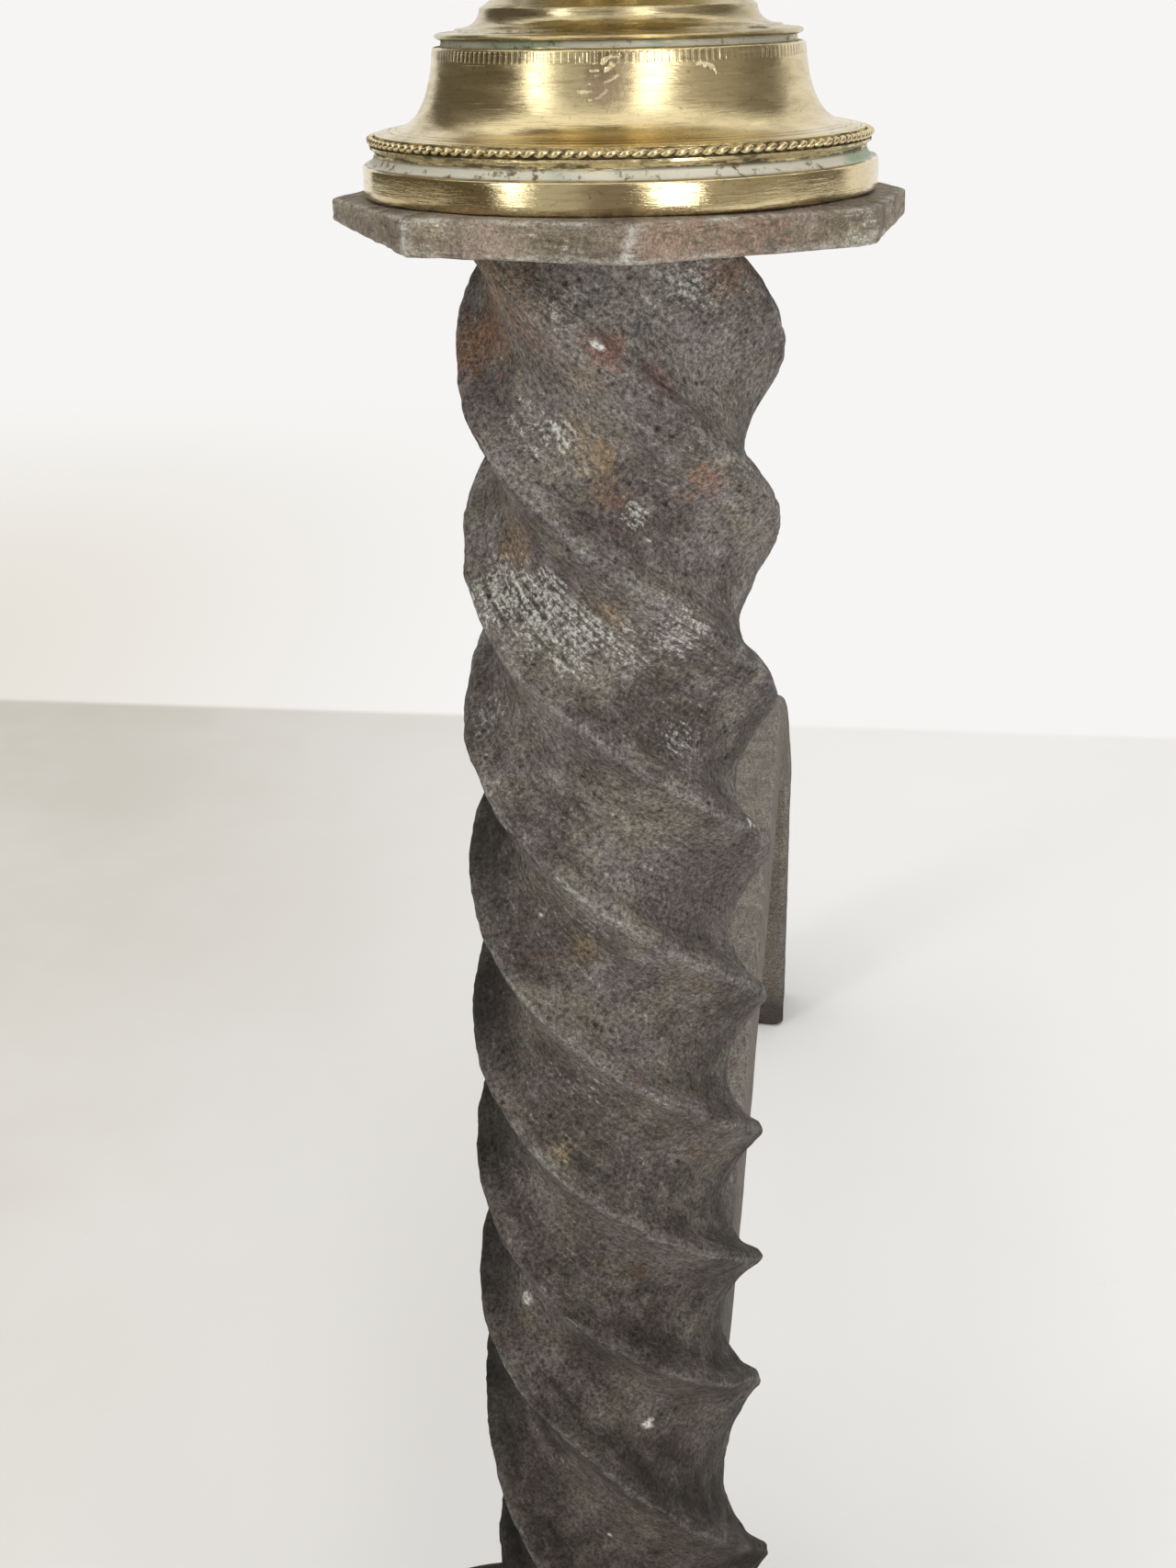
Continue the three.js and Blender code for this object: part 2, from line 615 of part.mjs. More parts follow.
function makeBowl() {
  const beltRadius = BODY_RADIUS + BELT_PROUD;
  const beltTop = BOWL_HEIGHT + BELT_HEIGHT;
  const bowlStart = -Math.acos(BODY_FOOT_RADIUS / BODY_RADIUS);
  const bowlRadiusUp = BOWL_HEIGHT / Math.sin(-bowlStart);
  const insideStart = -Math.acos(BODY_FOOT_RADIUS / (BODY_RADIUS - BRASS_WALL));
  const insideUp = (BOWL_HEIGHT - WEB_THICKNESS) / Math.sin(-insideStart);
  const outer = [
    ...arc([0, BOWL_HEIGHT], BODY_RADIUS, bowlRadiusUp, bowlStart, 0, BODY_STEPS),
    [beltRadius - BELT_EDGE, BOWL_HEIGHT + BELT_STEP],
    [beltRadius, BOWL_HEIGHT + BELT_STEP + BELT_EDGE],
    [beltRadius, beltTop - BELT_EDGE],
    [beltRadius - BELT_EDGE, beltTop],
    [BODY_RADIUS - BRASS_WALL, beltTop],
  ];
  const inner = [
    [ROD_BORE_RADIUS, 0],
    [ROD_BORE_RADIUS, WEB_THICKNESS],
    ...arc([0, BOWL_HEIGHT], BODY_RADIUS - BRASS_WALL, insideUp, insideStart, 0, SMALL_STEPS),
  ];
  return hollowTurned(outer, inner).translate(0, 0, BOWL_Z);
}

function makeDome() {
  const spigotRadius = BODY_RADIUS - BRASS_WALL - SEAT_CLEARANCE;
  const insideRadius = spigotRadius - BRASS_WALL;
  const domeEnd = Math.acos(DOME_TOP_RADIUS / BODY_RADIUS);
  const insideEnd = Math.acos(DOME_TOP_RADIUS / insideRadius);
  const domeUp = DOME_HEIGHT / Math.sin(domeEnd);
  const insideUp = (DOME_HEIGHT - WEB_THICKNESS) / Math.sin(insideEnd);
  const outer = [
    [spigotRadius, -SPIGOT_HEIGHT],
    [spigotRadius, 0],
    ...arc([0, 0], BODY_RADIUS, domeUp, 0, domeEnd, BODY_STEPS),
    [ROD_BORE_RADIUS, DOME_HEIGHT],
  ];
  const inner = [
    [insideRadius, -SPIGOT_HEIGHT],
    ...arc([0, 0], insideRadius, insideUp, 0, insideEnd, SMALL_STEPS),
    [ROD_BORE_RADIUS, DOME_HEIGHT - WEB_THICKNESS],
  ];
  return hollowTurned(outer, inner).translate(0, 0, DOME_Z);
}

function makeCap() {
  const lipRadius = CAP_LIP_HEIGHT / 2;
  const lipCentre = [CAP_RADIUS - lipRadius, lipRadius];
  const slopeTop = [CAP_NECK_RADIUS, CAP_HEIGHT - CAP_FLARE_HEIGHT];
  const outer = [
    ...arc(lipCentre, lipRadius, lipRadius, -QUARTER_TURN, QUARTER_TURN, SMALL_STEPS),
    ...curve([CAP_RADIUS - CAP_LIP_HEIGHT, CAP_LIP_HEIGHT], [CAP_NECK_RADIUS, CAP_LIP_HEIGHT], slopeTop),
    [CAP_NECK_RADIUS + CAP_FLARE, CAP_HEIGHT],
  ];
  const inner = [
    [ROD_BORE_RADIUS, 0],
    [ROD_BORE_RADIUS, CAP_HEIGHT],
  ];
  return hollowTurned(outer, inner).translate(0, 0, CAP_Z);
}

function makeKnob() {
  const collarTop = KNOB_COLLAR_HEIGHT;
  const stemTop = collarTop + KNOB_STEM_HEIGHT;
  const ballStart = -Math.acos(KNOB_STEM_RADIUS / KNOB_BALL_RADIUS);
  const ballEnd = Math.acos(KNOB_TIP_RADIUS / KNOB_BALL_RADIUS);
  const ballCentre = stemTop - KNOB_BALL_RADIUS * Math.sin(ballStart);
  const ballTop = ballCentre + KNOB_BALL_RADIUS * Math.sin(ballEnd);
  const boreTop = ROD_DEPTH_IN_KNOB + BORE_END_GAP;
  const tipTop = ballTop + KNOB_TIP_HEIGHT;
  const tipFoot = ballTop + KNOB_TIP_NECK_HEIGHT;
  const profile = [
    [ROD_BORE_RADIUS, 0],
    [KNOB_COLLAR_RADIUS - KNOB_COLLAR_EDGE, 0],
    [KNOB_COLLAR_RADIUS, KNOB_COLLAR_EDGE],
    [KNOB_COLLAR_RADIUS, collarTop - KNOB_COLLAR_EDGE],
    [KNOB_COLLAR_RADIUS - KNOB_COLLAR_EDGE, collarTop],
    ...arc([0, ballCentre], KNOB_BALL_RADIUS, KNOB_BALL_RADIUS, ballStart, ballEnd, BODY_STEPS),
    ...curve([KNOB_TIP_NECK_RADIUS, tipFoot], [KNOB_TIP_SWELL, (tipFoot + tipTop) / 2], [0, tipTop]),
  ];
  const bore = [
    [0, boreTop],
    [ROD_BORE_RADIUS, boreTop],
  ];
  return turned([...bore, ...profile]).translate(0, 0, KNOB_Z);
}

function makeTieRod() {
  const profile = [
    [0, ROD_FOOT_Z],
    [ROD_RADIUS - ROD_EDGE, ROD_FOOT_Z],
    [ROD_RADIUS, ROD_FOOT_Z + ROD_EDGE],
    [ROD_RADIUS, ROD_TOP_Z - ROD_EDGE],
    [ROD_RADIUS - ROD_EDGE, ROD_TOP_Z],
    [0, ROD_TOP_Z],
  ];
  return turned(profile, BORE_STEPS);
}

addPiece(andiron, 'front_legs', makeFrontLegs(), wroughtIron);
addPiece(andiron, 'upright', makeUpright(), wroughtIron);
addPiece(andiron, 'rove_washer', makeRoveWasher(), wroughtIron);
addPiece(andiron, 'log_bar', makeLogBar(), wroughtIron);
addPiece(head, 'plate', makePlate(), plateIron);
addPiece(head, 'tie_rod', makeTieRod(), rodIron);
addPiece(head, 'finial_base', makeBase(), agedBrass);
addPiece(head, 'finial_neck', makeNeck(), agedBrass);
addPiece(head, 'finial_bowl', makeBowl(), agedBrass);
addPiece(head, 'finial_dome', makeDome(), agedBrass);
addPiece(head, 'finial_cap', makeCap(), agedBrass);
addPiece(head, 'top_knob', makeKnob(), agedBrass);

// The origin is on the floor, under the centre of the whole object's box.
const box = new THREE.Box3().setFromObject(andiron);
andiron.position.x = -(box.min.x + box.max.x) / 2;
andiron.position.y = -(box.min.y + box.max.y) / 2;

export default andiron;
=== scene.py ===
from math import acos, cos, degrees, exp, hypot, pi, radians, sin

import bpy
from mathutils import Matrix, Vector, noise


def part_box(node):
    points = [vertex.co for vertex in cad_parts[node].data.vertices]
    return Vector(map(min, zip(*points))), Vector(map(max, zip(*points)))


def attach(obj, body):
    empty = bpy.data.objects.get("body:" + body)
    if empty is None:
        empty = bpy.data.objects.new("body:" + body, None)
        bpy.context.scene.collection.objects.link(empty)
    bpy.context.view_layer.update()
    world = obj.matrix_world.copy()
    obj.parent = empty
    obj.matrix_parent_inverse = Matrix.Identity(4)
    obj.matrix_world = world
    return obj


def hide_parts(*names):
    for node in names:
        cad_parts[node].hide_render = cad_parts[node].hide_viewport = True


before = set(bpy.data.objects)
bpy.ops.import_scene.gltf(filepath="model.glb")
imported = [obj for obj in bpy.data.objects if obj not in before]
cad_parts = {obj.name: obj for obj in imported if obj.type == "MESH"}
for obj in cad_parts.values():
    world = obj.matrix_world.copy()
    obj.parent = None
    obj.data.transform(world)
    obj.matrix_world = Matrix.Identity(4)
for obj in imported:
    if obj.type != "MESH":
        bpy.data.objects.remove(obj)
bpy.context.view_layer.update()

# ---- front legs ----
# One wrought-iron bar forged into an arch, with each end beaten out into a round foot. The crown
# carries the upright, whose tenon goes down through it and is riveted over a washer.

MM = 0.001


def stand(name, data):
    """Puts an object made of the data in the scene."""
    thing = bpy.data.objects.new(name, data)
    bpy.context.scene.collection.objects.link(thing)
    return thing


def skin(name, tubes, mask_name="edge"):
    """A mesh of closed tubes. Each tube is a list of rings of (x, y, z, mask), in millimetres."""
    points, masks, faces = [], [], []
    for rings in tubes:
        count = len(rings[0])
        start = len(points)
        for ring in rings:
            points += [(x * MM, y * MM, z * MM) for x, y, z, _ in ring]
            masks += [mask for *_, mask in ring]
        for level in range(len(rings) - 1):
            for i in range(count):
                a = start + level * count + i
                b = start + level * count + (i + 1) % count
                faces.append((a, b, b + count, a + count))
        last = start + (len(rings) - 1) * count
        for first, ring, flip in ((start, rings[0], True), (last, rings[-1], False)):
            centre = len(points)
            points.append(tuple(sum(p[k] for p in ring) / count * MM for k in range(3)))
            masks.append(sum(p[3] for p in ring) / count)
            for i in range(count):
                a, b = first + i, first + (i + 1) % count
                faces.append((centre, b, a) if flip else (centre, a, b))
    mesh = bpy.data.meshes.new(name)
    mesh.from_pydata(points, [], faces)
    mesh.attributes.new(mask_name, "FLOAT", "POINT").data.foreach_set("value", masks)
    mesh.shade_smooth()
    mesh.set_sharp_from_angle(angle=radians(50))
    return stand(name, mesh)


def fit(piece, material, slot, *nodes, body="andiron"):
    """Gives a piece its finish and puts it in the place of the nodes that it stands for."""
    piece.data.materials.append(material)
    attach(piece, body)
    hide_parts(*nodes)


def recoat(node, material):
    """Gives its finish to a piece that keeps its plain mesh."""
    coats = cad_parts[node].data.materials
    coats.clear()
    coats.append(material)


def mix(a, b, share):
    return a + (b - a) * share


def rough(x, y, z, size, seed):
    """Smooth unevenness between about -1 and 1, with bumps of the given size in millimetres."""
    return noise.fractal(Vector((x / size + seed, y / size, z / size)), 1.0, 2.0, 3)


def bar_section(width, depth, corner, hollow, arc_steps, side_steps, lean=0.0, edge_width=1.5, lap=0.0):
    """(x, y, edge) round a bar with rounded corners; edge is 1 on a crest and below 0 in a groove.

    A side is hollowed in its middle, leans fuller towards its far corner, and has a shallow groove,
    as deep as lap, just inside its near corner.
    """
    points = []
    for side in range(4):
        along, across = (width, depth) if side % 2 == 0 else (depth, width)
        cx, cy = along / 2 - corner, across / 2 - corner
        half_arc = pi / 4 * corner
        section = []
        for step in range(arc_steps + 1):
            angle = pi / 2 * step / arc_steps
            off_crest = half_arc * abs(2 * step / arc_steps - 1)
            edge = exp(-((off_crest / edge_width) ** 2))
            section.append((cx + corner * cos(angle), cy + corner * sin(angle), edge))
        for step in range(1, side_steps):
            share = 1 - 2 * step / side_steps
            edge = exp(-(((half_arc + cx * (1 - abs(share))) / edge_width) ** 2))
            dip = (hollow + lean * share) * (1 - share * share)
            dip += lap * exp(-(((share - 0.82) / 0.1) ** 2))
            # Below zero the edge mask paints shade in the groove.
            edge -= lap * exp(-(((share - 0.78) / 0.13) ** 2))
            section.append((cx * share, across / 2 - dip, edge))
        turn = side * pi / 2
        points += [
            (x * cos(turn) - y * sin(turn), x * sin(turn) + y * cos(turn), edge)
            for x, y, edge in section
        ]
    return points


# Shader nodes. A value that is a socket gets linked, and any other is set.


def add(tree, kind, inputs=None, **settings):
    node = tree.nodes.new("ShaderNode" + kind)
    for key, value in settings.items():
        setattr(node, key, value)
    for key, value in (inputs or {}).items():
        if isinstance(value, bpy.types.NodeSocket):
            tree.links.new(value, node.inputs[key])
        else:
            node.inputs[key].default_value = value
    return node


def grain(tree, place, scale, detail=4.0, roughness=0.6):
    texture = {"Vector": place, "Scale": scale, "Detail": detail, "Roughness": roughness}
    return add(tree, "TexNoise", texture).outputs["Fac"]


def between(tree, value, low, high, out_low=0.0, out_high=1.0, ends="SMOOTHSTEP"):
    """The value carried from low..high to out_low..out_high."""
    limits = {0: value, 1: low, 2: high, 3: out_low, 4: out_high}
    return add(tree, "MapRange", limits, interpolation_type=ends).outputs["Result"]


def axes(tree, place):
    return add(tree, "SeparateXYZ", {0: place}).outputs


def grey(tree, value):
    return add(tree, "CombineColor", {0: value, 1: value, 2: value}).outputs[0]


def maths(tree, operation, a, b=0.5):
    return add(tree, "Math", {0: a, 1: b}, operation=operation).outputs[0]


def times(tree, a, b):
    return maths(tree, "MULTIPLY", a, b)


def plus(tree, a, b):
    return maths(tree, "ADD", a, b)


def less(tree, a, b=0.5):
    return maths(tree, "SUBTRACT", a, b)


def vectors(tree, operation, a, b, output=0):
    return add(tree, "VectorMath", {0: a, 1: b}, operation=operation).outputs[output]


def stretched(tree, place, along):
    """The place squeezed along its third axis, which draws a grain out along that axis or across it."""
    return add(tree, "Mapping", {"Vector": place, "Scale": (1, 1, along)}).outputs[0]


def colours(tree, share, a, b, blend="MIX"):
    return add(tree, "Mix", {0: share, 6: a, 7: b}, data_type="RGBA", blend_type=blend).outputs[2]


def tinted(tree, a, b):
    return colours(tree, 1.0, a, b, "MULTIPLY")


def empty_tree(owner):
    owner.use_nodes = True
    owner.node_tree.nodes.clear()
    return owner.node_tree


def in_metres(place):
    return [c * MM for c in place]


def metal(tree, colour, roughness, height, strength, relief, metallic, specular=0.5):
    """The finish of a bare metal, whose relief in millimetres is a bump."""
    bump = add(tree, "Bump", {"Strength": strength, "Distance": relief * MM, "Height": height})
    look = {
        "Base Color": colour, "Roughness": roughness, "Normal": bump.outputs[0], "Metallic": metallic,
        "Specular IOR Level": specular,
    }
    shader = add(tree, "BsdfPrincipled", look)
    tree.links.new(shader.outputs[0], add(tree, "OutputMaterial").inputs["Surface"])


def new_group(name, inputs, outputs):
    tree = bpy.data.node_groups.new(name, "ShaderNodeTree")
    kinds = {"value": "NodeSocketFloat", "colour": "NodeSocketColor", "vector": "NodeSocketVector"}
    for label, kind in inputs:
        tree.interface.new_socket(label, in_out="INPUT", socket_type=kinds[kind])
    for label, kind in outputs:
        tree.interface.new_socket(label, in_out="OUTPUT", socket_type=kinds[kind])
    return tree, tree.nodes.new("NodeGroupInput").outputs, tree.nodes.new("NodeGroupOutput").inputs


# Old forged iron: scale and rust in blotches, grain drawn out along the bar, pits, flecks of lime,
# and paler corners, partly rubbed wear and partly a painted highlight. Where the edge mask is below
# zero it paints shade, and the iron is darker towards the bottom, partly soot and partly painted
# shade.
forged_surface, given, result = new_group(
    "forged_surface",
    [
        ("Place", "vector"), ("Fibre", "vector"), ("Dark", "colour"), ("Middle", "colour"),
        ("Pale", "colour"), ("Rust", "colour"), ("Rust Share", "value"), ("Lime Share", "value"),
        ("Rub Sheen And Shade", "value"), ("Soot And Shade Below", "value"), ("Pitting", "value"),
    ],
    [("Colour", "colour"), ("Grain And Shade", "value"), ("Roughness", "value"), ("Height", "value")],
)
tree = forged_surface
place = given["Place"]
broad = grain(tree, place, 60, 5, 0.62)
blotch = grain(tree, place, 240, 5, 0.66)
fine = grain(tree, place, 1350, 4, 0.72)
speck = grain(tree, place, 3300, 2, 0.5)
drawn = stretched(tree, given["Fibre"], 0.3)
strokes = grain(tree, drawn, 800, 5, 0.74)
elsewhere = vectors(tree, "ADD", place, (0.0517, 0.0331, 0.0209))
hue = grain(tree, elsewhere, 120, 5, 0.66)
pit_cells = add(tree, "TexVoronoi", {"Vector": elsewhere, "Scale": 620}).outputs["Distance"]
pit_field = between(tree, grain(tree, elsewhere, 210, 3), 0.46, 0.62)
pits = times(tree, between(tree, pit_cells, 0.38, 0.1), pit_field)
colour = colours(tree, between(tree, broad, 0.34, 0.66), given["Dark"], given["Middle"])
colour = colours(tree, between(tree, blotch, 0.5, 0.78, 0, 0.4), colour, given["Pale"])
tint = colours(tree, between(tree, hue, 0.36, 0.64), (1.05, 0.975, 1.0, 1), (1.0, 1.0, 0.87, 1))
colour = tinted(tree, colour, tint)
colour = colours(tree, between(tree, strokes, 0.54, 0.74, 0, 0.5), colour, given["Pale"])
# Crests turn pale and cool: rubbed wear, and partly a painted highlight.
rub_and_sheen = times(tree, given["Rub Sheen And Shade"], between(tree, strokes, 0.36, 0.6, 0.1, 1.0))
rub_and_sheen = times(tree, rub_and_sheen, between(tree, hue, 0.4, 0.6, 0.3, 1.0))
cool = tinted(tree, given["Pale"], (0.94, 1.0, 1.08, 1))
colour = colours(tree, rub_and_sheen, colour, cool)
rust_field = between(tree, grain(tree, elsewhere, 85, 7, 0.72), 0.5, 0.72, -0.5, 0.5)
rust_field = between(tree, plus(tree, rust_field, given["Rust Share"]), 0.1, 0.8)
rust_field = times(tree, rust_field, between(tree, fine, 0.3, 0.6, 0.35, 0.85))
rust_colour = colours(tree, between(tree, blotch, 0.35, 0.7), given["Rust"], (0.2, 0.115, 0.045, 1))
colour = colours(tree, rust_field, colour, rust_colour)
lime = plus(tree, given["Lime Share"], times(tree, less(tree, strokes), 2.6))
lime = plus(tree, lime, times(tree, less(tree, fine), 2.0))
lime = between(tree, lime, 0.42, 0.85, 0, 0.85)
colour = colours(tree, lime, colour, (0.43, 0.43, 0.385, 1))
pits = times(tree, pits, given["Pitting"])
shade = times(tree, less(tree, between(tree, fine, 0.29, 0.71, 0.36, 1.62), 1.0), given["Pitting"])
shade = plus(tree, shade, 1.0)
# Below zero the edge mask paints shade: in grooves, on the upright's left side, on the plate's top.
shade = times(tree, shade, between(tree, given["Rub Sheen And Shade"], -1, 0, 0.3, 1))
shade = times(tree, shade, between(tree, speck, 0.28, 0.72, 0.72, 1.28))
shade = times(tree, shade, between(tree, strokes, 0.28, 0.5, 0.5, 1.08))
shade = times(tree, shade, less(tree, 1.0, times(tree, pits, 0.62)))
colour = tinted(tree, colour, grey(tree, shade))
# Darker towards the bottom: partly soot, partly painted shade where less light reaches low down.
level = axes(tree, place)["Z"]
level = maths(tree, "DIVIDE", level, given["Soot And Shade Below"])
level = plus(tree, level, between(tree, broad, 0.3, 0.7, -0.08, 0.08))
soot_and_shade = between(tree, level, 0.3, 1.0, 1, 0, "LINEAR")
colour = colours(tree, soot_and_shade, colour, tinted(tree, colour, (0.15, 0.12, 0.088, 1)))
height = plus(tree, times(tree, blotch, 1.0), times(tree, fine, 1.3))
height = plus(tree, height, times(tree, strokes, 0.9))
height = less(tree, height, times(tree, pits, 0.6))
tree.links.new(colour, result["Colour"])
tree.links.new(shade, result["Grain And Shade"])
tree.links.new(between(tree, blotch, 0.3, 0.7, 0.84, 0.62), result["Roughness"])
tree.links.new(height, result["Height"])

# A ragged patch about a place, such as a rust bloom, a field of lime, a fleck of paint, or a pool
# of painted light or shade.
patch, given, result = new_group(
    "patch",
    [
        ("Place", "vector"), ("Fibre", "vector"), ("Centre", "vector"), ("Radius", "value"),
        ("Ragged", "value"),
    ],
    [("Mask", "value")],
)
tree = patch
away = vectors(tree, "DISTANCE", given["Place"], given["Centre"], "Value")
inside = less(tree, 1.0, maths(tree, "DIVIDE", away, given["Radius"]))
torn = less(tree, grain(tree, given["Place"], 330, 6, 0.72))
drawn = stretched(tree, given["Fibre"], 0.35)
broken = less(tree, grain(tree, drawn, 1100, 4, 0.7))
torn = times(tree, plus(tree, torn, broken), given["Ragged"])
tree.links.new(between(tree, plus(tree, inside, torn), 0.05, 0.7), result["Mask"])


def patch_mask(tree, place, drawn, centre, radius, ragged):
    spot = {
        "Place": place, "Fibre": drawn, "Centre": in_metres(centre), "Radius": radius * MM,
        "Ragged": ragged,
    }
    return add(tree, "Group", spot, node_tree=patch).outputs["Mask"]


# A narrow line between two places, such as a cold lap left by the hammer.
seam, given, result = new_group(
    "seam",
    [("Place", "vector"), ("Start", "vector"), ("End", "vector"), ("Width", "value")],
    [("Mask", "value")],
)
tree = seam
wander = add(tree, "TexNoise", {"Vector": given["Place"], "Scale": 420, "Detail": 3}).outputs["Color"]
wander = vectors(tree, "SUBTRACT", wander, (0.5, 0.5, 0.5))
wander = add(tree, "VectorMath", {0: wander, "Scale": 0.0022}, operation="SCALE").outputs[0]
place = vectors(tree, "ADD", given["Place"], wander)
along = vectors(tree, "SUBTRACT", given["End"], given["Start"])
out = vectors(tree, "SUBTRACT", place, given["Start"])
reach = vectors(tree, "DOT_PRODUCT", out, along, "Value")
length = vectors(tree, "DOT_PRODUCT", along, along, "Value")
share = add(tree, "Clamp", {0: maths(tree, "DIVIDE", reach, length)}).outputs[0]
nearest = add(tree, "VectorMath", {0: along, "Scale": share}, operation="SCALE").outputs[0]
away = vectors(tree, "DISTANCE", out, nearest, "Value")
tree.links.new(between(tree, maths(tree, "DIVIDE", away, given["Width"]), 1.0, 0.3), result["Mask"])


def seam_mask(tree, place, start, end, width):
    line = {"Place": place, "Start": in_metres(start), "End": in_metres(end), "Width": width * MM}
    return add(tree, "Group", line, node_tree=seam).outputs["Mask"]


def as_it_lies(tree, place):
    return place


def iron(
    name, dark, middle, pale, rust, rust_share, relief=0.35, fibre=as_it_lies,
    limed=(), patches=(), seams=(), soot_and_shade_below=370, pitting=1.0,
):
    """Material of old iron; limed patches break into flecks, and the other patches and seams lie on top."""
    material = bpy.data.materials.new(name)
    tree = empty_tree(material)
    place = add(tree, "TexCoord").outputs["Object"]
    drawn = fibre(tree, place)

    def mask(centre, radius, ragged):
        return patch_mask(tree, place, drawn, centre, radius, ragged)

    surface = add(
        tree,
        "Group",
        {
            "Place": place, "Fibre": drawn, "Dark": (*dark, 1), "Middle": (*middle, 1), "Pale": (*pale, 1),
            "Rust": (*rust, 1), "Rust Share": rust_share,
            "Rub Sheen And Shade": add(tree, "Attribute", attribute_name="edge").outputs["Fac"],
            "Soot And Shade Below": soot_and_shade_below * MM, "Pitting": pitting,
        },
        node_tree=forged_surface,
    )
    share = None
    for centre, radius, strength in limed:
        field = times(tree, mask(centre, radius, 1.2), strength)
        share = field if share is None else maths(tree, "MAXIMUM", share, field)
    if share is not None:
        tree.links.new(share, surface.inputs["Lime Share"])
    colour, height = surface.outputs["Colour"], surface.outputs["Height"]
    # The grain's shade also carries the painted shade of the edge mask.
    grain_and_shade = grey(tree, surface.outputs["Grain And Shade"])
    for centre, radius, ragged, tone, strength in patches:
        share = times(tree, mask(centre, radius, ragged), strength)
        colour = colours(tree, share, colour, tinted(tree, grain_and_shade, (*tone, 1)))
    for start, end, width, tone, depth in seams:
        line = seam_mask(tree, place, start, end, width)
        flaked = between(tree, surface.outputs["Grain And Shade"], 0.5, 1.1, 0.25, 0.9)
        colour = colours(tree, times(tree, line, flaked), colour, (*tone, 1))
        height = plus(tree, height, times(tree, line, depth))
    metal(tree, colour, surface.outputs["Roughness"], height, 0.85, relief, 0.0, 0.35)
    return material


leg_iron = iron(
    "leg_iron", (0.085, 0.076, 0.058), (0.14, 0.128, 0.1), (0.27, 0.255, 0.22), (0.16, 0.07, 0.032), 0.18
)

ARCH_OUTER = (104, 108.4)
ARCH_INNER = (84, 77)
ARCH_DEPTH = 30
FOOT_X = 100
ARCH_STEPS = 140
FOOT_STEPS = 72

axis_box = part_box("rove_washer")
AXIS_X, AXIS_Y = [(axis_box[0][k] + axis_box[1][k]) / 2 / MM for k in (0, 1)]

arch_rings = []
for step in range(ARCH_STEPS + 1):
    angle = pi * (1 - step / ARCH_STEPS)
    way = (cos(angle), sin(angle))
    middle = [(outer + inner) / 2 * w for outer, inner, w in zip(ARCH_OUTER, ARCH_INNER, way)]
    half = [(outer - inner) / 2 * w for outer, inner, w in zip(ARCH_OUTER, ARCH_INNER, way)]
    thickness = 2 * hypot(*half)
    out = (half[0] * 2 / thickness, half[1] * 2 / thickness)
    ring = []
    for u, v, edge in bar_section(thickness, ARCH_DEPTH, 2.4, 0.25, 6, 10):
        x = middle[0] + u * out[0]
        z = middle[1] + u * out[1]
        dent = 0.35 * rough(x, v, z, 17, 3.1) + 0.12 * rough(x, v, z, 4, 8.2) - 0.25
        size = hypot(u, v)
        x = AXIS_X + x + dent * out[0] * u / size
        z = max(z + dent * out[1] * u / size, 0)
        ring.append((x, AXIS_Y + v + dent * v / size, z, edge))
    arch_rings.append(ring)


def foot_rings(side):
    """A round foot that narrows into the end of the leg."""
    rings = []
    leg_x = side * (ARCH_OUTER[0] + ARCH_INNER[0]) / 2
    for radius, z, edge in (
        (22.4, 0, 0.2), (23.6, 0.6, 0.6), (24, 1.6, 0.8), (24, 4.4, 0.8), (23.6, 5.6, 0.9),
        (22.4, 6.5, 0.5), (20.2, 7.1, 0.1), (17.6, 8.2, 0), (15.6, 10, 0), (14, 12.5, 0), (13, 16, 0),
    ):
        share = max(0.0, min(1.0, (z - 6) / 10))
        ring = []
        for step in range(FOOT_STEPS):
            angle = 2 * pi * step / FOOT_STEPS
            x = mix(side * FOOT_X, leg_x - side * 0.4, share) + radius * cos(angle) * mix(1, 0.62, share)
            y = radius * sin(angle) * mix(1, 0.98, share)
            wave = min(1 + 0.008 * rough(x, y, z, 15, 1.7), 1)
            ring.append((AXIS_X + side * FOOT_X + (x - side * FOOT_X) * wave, AXIS_Y + y * wave, z, edge))
        rings.append(ring)
    return rings


front_legs = skin("front_legs_forged", [arch_rings, foot_rings(-1), foot_rings(1)])
fit(front_legs, leg_iron, "wrought_iron", "front_legs")

# ---- upright ----
# One square wrought-iron bar, twisted left-handed while hot, less tightly near its foot. The hammer
# has softened its corners towards the top, and a rivet head closes its foot tenon under the arch.

SEAT_Z = 98
BLOCK_TOP_Z = 104
TURN_FOOT_Z = 107
RUN_OUT_LENGTH = 69
RUN_OUT_TURN = radians(141)
TWIST_LENGTH = 211
TWIST_TURN = radians(675)
PLATE_Z = TURN_FOOT_Z + RUN_OUT_LENGTH + TWIST_LENGTH
BLOCK_SIDE = 42
SHAFT_LEAN = 1.8
SHAFT_BOW = 1.0
SHAFT_STEP = 3.0


def turned_by(height):
    """How far the section has turned, in radians, at a height above the foot of the twist."""
    if height < RUN_OUT_LENGTH:
        return -RUN_OUT_TURN * height / RUN_OUT_LENGTH
    return -RUN_OUT_TURN - TWIST_TURN * (height - RUN_OUT_LENGTH) / TWIST_LENGTH


SHAFT_STEPS = (10, 38)
# Painted shade darkens the side that faces left, from this share of the way round, up to this height.
LEFT_SHADE_START = 0.72
LEFT_SHADE_TOP = 345


